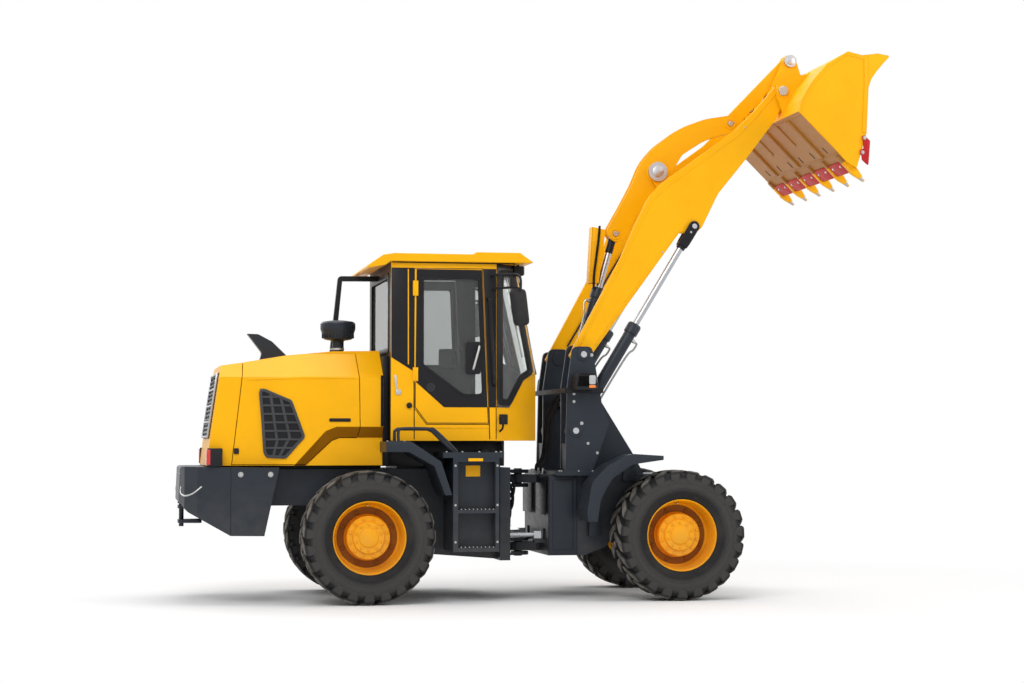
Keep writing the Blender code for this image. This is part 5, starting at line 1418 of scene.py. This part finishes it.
def tilt_cylinder():
    at = in_plane(TILT_BASE, LOWER_EYE, 0.0)
    length = (Vector(LOWER_EYE) - Vector(TILT_BASE)).length
    barrel("tilt_cylinder", "tilt_cylinder", at, 0.800, 0.050, "tilt_cylinder",
           (0.055, 0.046, 0.0345))
    pipe = Piece("tilt_cylinder_pipe", "zinc", "tilt_cylinder")
    local_tube(pipe, at, [(-0.081, 0.0, 0.668), (-0.090, 0.0, 0.640), (-0.080, -0.012, 0.58),
                          (-0.064, -0.014, 0.50), (-0.063, -0.014, 0.14)], 0.0075)
    local_tube(pipe, at, [(-0.082, 0.0, 0.112), (-0.092, 0.0, 0.100), (-0.096, 0.004, 0.06)],
               0.0085)
    pipe.done()
    rod = Piece("tilt_rod_chrome", "chrome", "tilt_rod")
    rod.turned([(length - 0.780, 0.0270), (length - 0.775, 0.0275), (length - 0.160, 0.0275),
                (length - 0.159, 0.0260)], at, 44)
    rod.done(replaces=("tilt_rod",), sharp=30.0)
    sleeve = Piece("tilt_rod_sleeve", "satin_black", "tilt_rod")
    sleeve.turned([(length - 0.172, 0.0290), (length - 0.168, 0.0335), (length - 0.060, 0.0335),
                   (length - 0.045, 0.0300)], at, 36)
    sleeve.done()
    eye = Piece("tilt_rod_eye", "bronze", "tilt_rod")
    eye.turned([(-0.026, 0.0245), (-0.026, 0.052), (-0.023, 0.055), (0.023, 0.055),
                (0.026, 0.052), (0.026, 0.0245)],
               at @ Matrix.Translation((0.0, 0.0, length)) @ Matrix.Rotation(math.pi / 2, 4, "X"),
               40, loop=True)
    eye.done(sharp=38.0)
    guard = Piece("tilt_hose_guard", "yellow", "tilt_rod")
    outline = [(2.024, 2.690), (2.108, 2.690), (2.171, 3.158), (2.052, 3.182)]
    for y_low, y_high in ((-0.052, -0.044), (0.044, 0.052)):
        guard.prism(outline, y_low, y_high)
    guard.prism([(2.020, 2.690), (2.028, 2.690), (2.058, 3.180), (2.048, 3.182)], -0.052, 0.052)
    guard.done(bevel=0.002)
    line = Piece("tilt_guard_hose", "hose", "tilt_rod")
    line.tube([(2.060, -0.060, 2.640), (2.064, -0.060, 2.760), (2.085, -0.060, 2.920),
               (2.104, -0.060, 3.060), (2.116, -0.056, 3.190)], 0.0105)
    line.done()


for side_label, side_sign in SIDES:
    lift_cylinder(side_label, side_sign)
tilt_cylinder()


# ---------------------------------------------------------------- boom and linkage
def ring_boss(piece, point, y_near, y_far, outer, inner, segments=36):
    """A round boss with an open bore, across the machine."""
    piece.turned([(y_near, inner), (y_near, outer), (y_far - math.copysign(0.002, y_far), outer),
                  (y_far, outer * 0.96), (y_far, inner)],
                 aimed(P(point[0], 0.0, point[1]), CROSS), segments, loop=True)


BOOM_TOP_LINE = [(1.800, 2.110), (2.190, 2.850), (2.338, 3.172), (2.452, 3.385),
                 (2.565, 3.505), (3.205, 3.962), (3.360, 4.112), (3.560, 4.345)]


def boom_details():
    bosses = Piece("boom_bosses", "yellow", "boom")
    for _, side in SIDES:
        ring_boss(bosses, BUCKET_PIVOT, side * 0.5020, side * 0.5115, 0.060, 0.0425)
        ring_boss(bosses, BOOM_PIVOT, side * 0.5020, side * 0.5115, 0.070, 0.0425)
        ring_boss(bosses, BOOM_PIVOT, side * 0.4580, side * 0.4485, 0.070, 0.0425)
    bosses.done(sharp=38.0)
    lines = Piece("boom_edge_strips", "yellow", "boom")
    for _, side in SIDES:
        def face(x, z, out, side=side):
            return P(x, side * (0.5025 + out), z)

        lines.ribbon([(x + 0.012, z - 0.022) for x, z in BOOM_TOP_LINE], 0.020, face, 0.003,
                     closed=False)
        lines.ribbon([(1.968, 2.125), (2.528, 2.892), (2.694, 3.116), (2.815, 3.112)], 0.018,
                     face, 0.003, closed=False)
    lines.done(bevel=0.001)
    tube = Piece("boom_cross_tube_welds", "yellow", "boom")
    for _, side in SIDES:
        tube.across((2.800, 3.400), [(side * 0.4400, 0.086), (side * 0.4460, 0.093),
                                     (side * 0.4580, 0.097)], 40)
        tube.across((2.800, 3.400), [(side * 0.098, 0.086), (side * 0.104, 0.092),
                                     (side * 0.110, 0.086)], 40)
    tube.done(sharp=60.0)
    caps = Piece("boom_pin_caps", "steel", "boom")
    keepers = Piece("boom_pin_keepers", "zinc", "boom")
    for _, side in SIDES:
        for x, z in ((2.560, 2.930), (3.300, 4.020)):
            keepers.bolt((x, side * 0.5025, z), (0.0, side, 0.0), 0.008)
        caps.turned([(0.0, 0.030), (0.006, 0.030), (0.008, 0.027), (0.008, 0.001)],
                    aimed(P(LIFT_EYE[0], side * 0.4965, LIFT_EYE[1]), (0.0, side, 0.0)), 28)
    caps.done()
    keepers.done()
    pipes = Piece("boom_steel_pipes", "satin_black", "boom")
    for _, side in SIDES:
        y = side * 0.4500
        pipes.tube([(1.940, y, 2.160), (2.180, y, 2.560), (2.420, y, 2.960), (2.640, y, 3.260),
                    (2.700, y, 3.330)], 0.0075)
    pipes.done()


def linkage_details():
    hub = Piece("bellcrank_hub", "yellow", "bellcrank")
    for _, side in SIDES:
        ring_boss(hub, BELLCRANK_PIVOT, side * 0.0595, side * 0.0675, 0.088, 0.0425, 44)
        ring_boss(hub, LOWER_EYE, side * 0.0595, side * 0.0660, 0.050, 0.0300)
        ring_boss(hub, UPPER_EYE, side * 0.0595, side * 0.0660, 0.050, 0.0300)
    hub.done(sharp=38.0)
    pins = Piece("bellcrank_eye_pins", "steel", "bellcrank")
    caps = Piece("bellcrank_eye_keepers", "zinc", "bellcrank")
    for point in (LOWER_EYE, UPPER_EYE):
        for _, side in SIDES:
            pins.across(point, [(side * 0.0450, 0.0220), (side * 0.0740, 0.0220),
                                (side * 0.0760, 0.0200), (side * 0.0760, 0.0010)], 28)
            caps.bolt((point[0] + 0.034, side * 0.0660, point[1] + 0.010), (0.0, side, 0.0),
                      0.006)
    pins.done()
    caps.done()
    main = Piece("bellcrank_pin_caps", "steel", "bellcrank_pin")
    for _, side in SIDES:
        main.across(BELLCRANK_PIVOT, [(side * 0.1200, 0.0500), (side * 0.1250, 0.0500),
                                      (side * 0.1270, 0.0470), (side * 0.1270, 0.0010)], 36)
    main.done(sharp=38.0)
    link = Piece("bucket_link_bosses", "yellow", "bucket_link")
    for point, radius in ((UPPER_EYE, 0.056), (LINK_PIVOT, 0.053)):
        for _, side in SIDES:
            ring_boss(link, point, side * 0.0255, side * 0.0335, radius, 0.0345)
    link.done(sharp=38.0)
    ends = Piece("link_pin_caps", "steel", "link_pin")
    for _, side in SIDES:
        ends.across(LINK_PIVOT, [(side * 0.0850, 0.0360), (side * 0.0890, 0.0360),
                                 (side * 0.0905, 0.0330), (side * 0.0905, 0.0010)], 32)
    ends.done(sharp=38.0)
    for side_name, side in SIDES:
        outer = Piece(f"bucket_pin_ends_{side_name}", "steel", "bucket_pins")
        outer.across(BUCKET_PIVOT, [(side * 0.5580, 0.0420), (side * 0.5660, 0.0420),
                                    (side * 0.5685, 0.0390), (side * 0.5685, 0.0010)], 32)
        outer.done(sharp=38.0)


boom_details()
linkage_details()


# ---------------------------------------------------------------- bucket
LIP = Vector((4.034, 3.690))
HEEL = Vector((3.620, 4.095))
LIP_DIRECTION = (LIP - HEEL).normalized()
INWARD = Vector((-LIP_DIRECTION.y, LIP_DIRECTION.x))


def by_lip(distance, depth):
    spot = LIP + LIP_DIRECTION * distance + INWARD * depth
    return (spot.x, spot.y)


def bucket_details():
    ribs = Piece("bucket_wear_ribs", "deep_yellow", "bucket")
    for y in (-0.62, 0.0, 0.62):
        ribs.prism([by_lip(-0.545, 0.001), by_lip(-0.110, 0.001), by_lip(-0.100, -0.010),
                    by_lip(-0.120, -0.020), by_lip(-0.540, -0.020)], y - 0.032, y + 0.032)
    for y in (-0.31, 0.31):
        ribs.prism([by_lip(-0.560, 0.001), by_lip(-0.300, 0.001), by_lip(-0.300, -0.010),
                    by_lip(-0.560, -0.010)], y - 0.025, y + 0.025)
    ribs.done(bevel=0.004)
    slots = Piece("bucket_floor_slots", "hose", "bucket")
    for y in (-0.45, -0.15, 0.15, 0.45, 0.78, -0.78):
        slots.prism([by_lip(-0.190, 0.001), by_lip(-0.120, 0.001), by_lip(-0.120, -0.0015),
                     by_lip(-0.190, -0.0015)], y - 0.008, y + 0.008)
    slots.done()
    seam = Piece("bucket_floor_weld", "deep_yellow", "bucket")
    for distance in (-0.105, -0.560):
        seam.prism([by_lip(distance, 0.001), by_lip(distance + 0.006, -0.006),
                    by_lip(distance + 0.014, -0.006), by_lip(distance + 0.020, 0.001)],
                   -0.962, 0.962)
    seam.done(bevel=0.001)
    edge = Piece("cutting_edge_segments", "red", "bucket")
    count = 6
    for index in range(count - 1):
        left = -0.918 + 1.836 * index / (count - 1) + 0.034
        right = -0.918 + 1.836 * (index + 1) / (count - 1) - 0.034
        edge.prism([by_lip(-0.010, -0.0005), by_lip(0.106, -0.0005), by_lip(0.124, 0.006),
                    by_lip(0.106, -0.016), by_lip(-0.010, -0.016)], left, right)
    edge.done(bevel=0.002)
    nuts = Piece("cutting_edge_bolts", "zinc", "bucket")
    outwards = Vector((-INWARD.x, 0.0, -INWARD.y))
    for index in range(count - 1):
        middle = -0.918 + 1.836 * (index + 0.5) / (count - 1)
        for shift in (-0.09, 0.09):
            spot = by_lip(0.030, -0.016)
            nuts.bolt((spot[0], middle + shift, spot[1]), outwards, 0.010)
    nuts.done()
    tips = Piece("bucket_tooth_tips", "deep_yellow", "bucket")
    steel_tips = Piece("bucket_tooth_points", "bare_edge", "bucket")
    for index in range(count):
        y = -0.918 + 1.836 * index / (count - 1)
        sections = []
        for distance, low, high, half in ((0.100, -0.028, 0.043, 0.025),
                                          (0.150, -0.021, 0.038, 0.024),
                                          (0.205, -0.006, 0.026, 0.021)):
            sections.append([P(by_lip(distance, d)[0], y + h, by_lip(distance, d)[1])
                             for d, h in ((low, -half), (low, half), (high, half),
                                          (high, -half))])
        tips.loft(sections)
        sections = []
        for distance, low, high, half in ((0.203, -0.006, 0.026, 0.021),
                                          (0.2445, 0.003, 0.015, 0.018)):
            sections.append([P(by_lip(distance, d)[0], y + h, by_lip(distance, d)[1])
                             for d, h in ((low, -half), (low, half), (high, half),
                                          (high, -half))])
        steel_tips.loft(sections)
    tips.done(bevel=0.003)
    steel_tips.done(bevel=0.002)
    for side_name, side in SIDES:
        low, high = sorted((side * 0.9695, side * 0.985))
        cutter = Piece(f"side_cutter_{side_name}", "red", "bucket")
        cutter.prism(softened([(4.176, 3.738), (4.180, 3.700), (4.236, 3.652), (4.254, 3.862),
                               (4.205, 3.912), (4.180, 3.900), (4.190, 3.862), (4.196, 3.800),
                               (4.164, 3.782), (4.164, 3.748)], 0.008), low, high)
        cutter.done(bevel=0.003)
        bolts = Piece(f"side_cutter_bolts_{side_name}", "zinc", "bucket")
        for x, z in ((4.184, 3.764), (4.203, 3.888)):
            bolts.bolt((x, side * 0.985, z), (0.0, side, 0.0), 0.012)
        bolts.done()
        strip = Piece(f"bucket_side_strip_{side_name}", "deep_yellow", "bucket")

        def cheek(x, z, out, side=side):
            return P(x, side * (0.970 + out), z)

        strip.ribbon([(4.200, 3.935), (4.225, 4.366), (4.222, 4.560)], 0.030, cheek, 0.006,
                     closed=False)
        strip.ribbon([(4.000, 3.740), (3.650, 4.085), (3.672, 4.190), (3.757, 4.337),
                      (3.888, 4.488), (4.060, 4.598), (4.215, 4.565)], 0.012, cheek, 0.004,
                     closed=False)
        strip.done(bevel=0.0015)
        pads = Piece(f"bucket_ear_pads_{side_name}", "deep_yellow", "bucket")
        for near, far in ((0.5500, 0.5570), (0.4100, 0.4040)):
            pads.turned([(side * near, 0.0425), (side * near, 0.058),
                         (side * far, 0.056), (side * far, 0.0425)],
                        aimed(P(BUCKET_PIVOT[0], 0.0, BUCKET_PIVOT[1]), CROSS), 36, loop=True)
        pads.done(sharp=40.0)
        bead = Piece(f"bucket_ear_welds_{side_name}", "deep_yellow", "bucket")
        for y in (side * 0.4225, side * 0.5375):
            bead.tube([(3.632, y, 4.128), (3.668, y, 4.222), (3.737, y, 4.346),
                       (3.876, y, 4.508)], 0.012, 8)
        bead.done(sharp=60.0)
    guard = Piece("spill_guard_rim", "deep_yellow", "bucket")
    guard.tube([(4.428, -0.938, 4.596), (4.428, -0.30, 4.596), (4.428, 0.30, 4.596),
                (4.428, 0.938, 4.596)], 0.0065, 8)
    guard.done(sharp=50.0)


bucket_details()
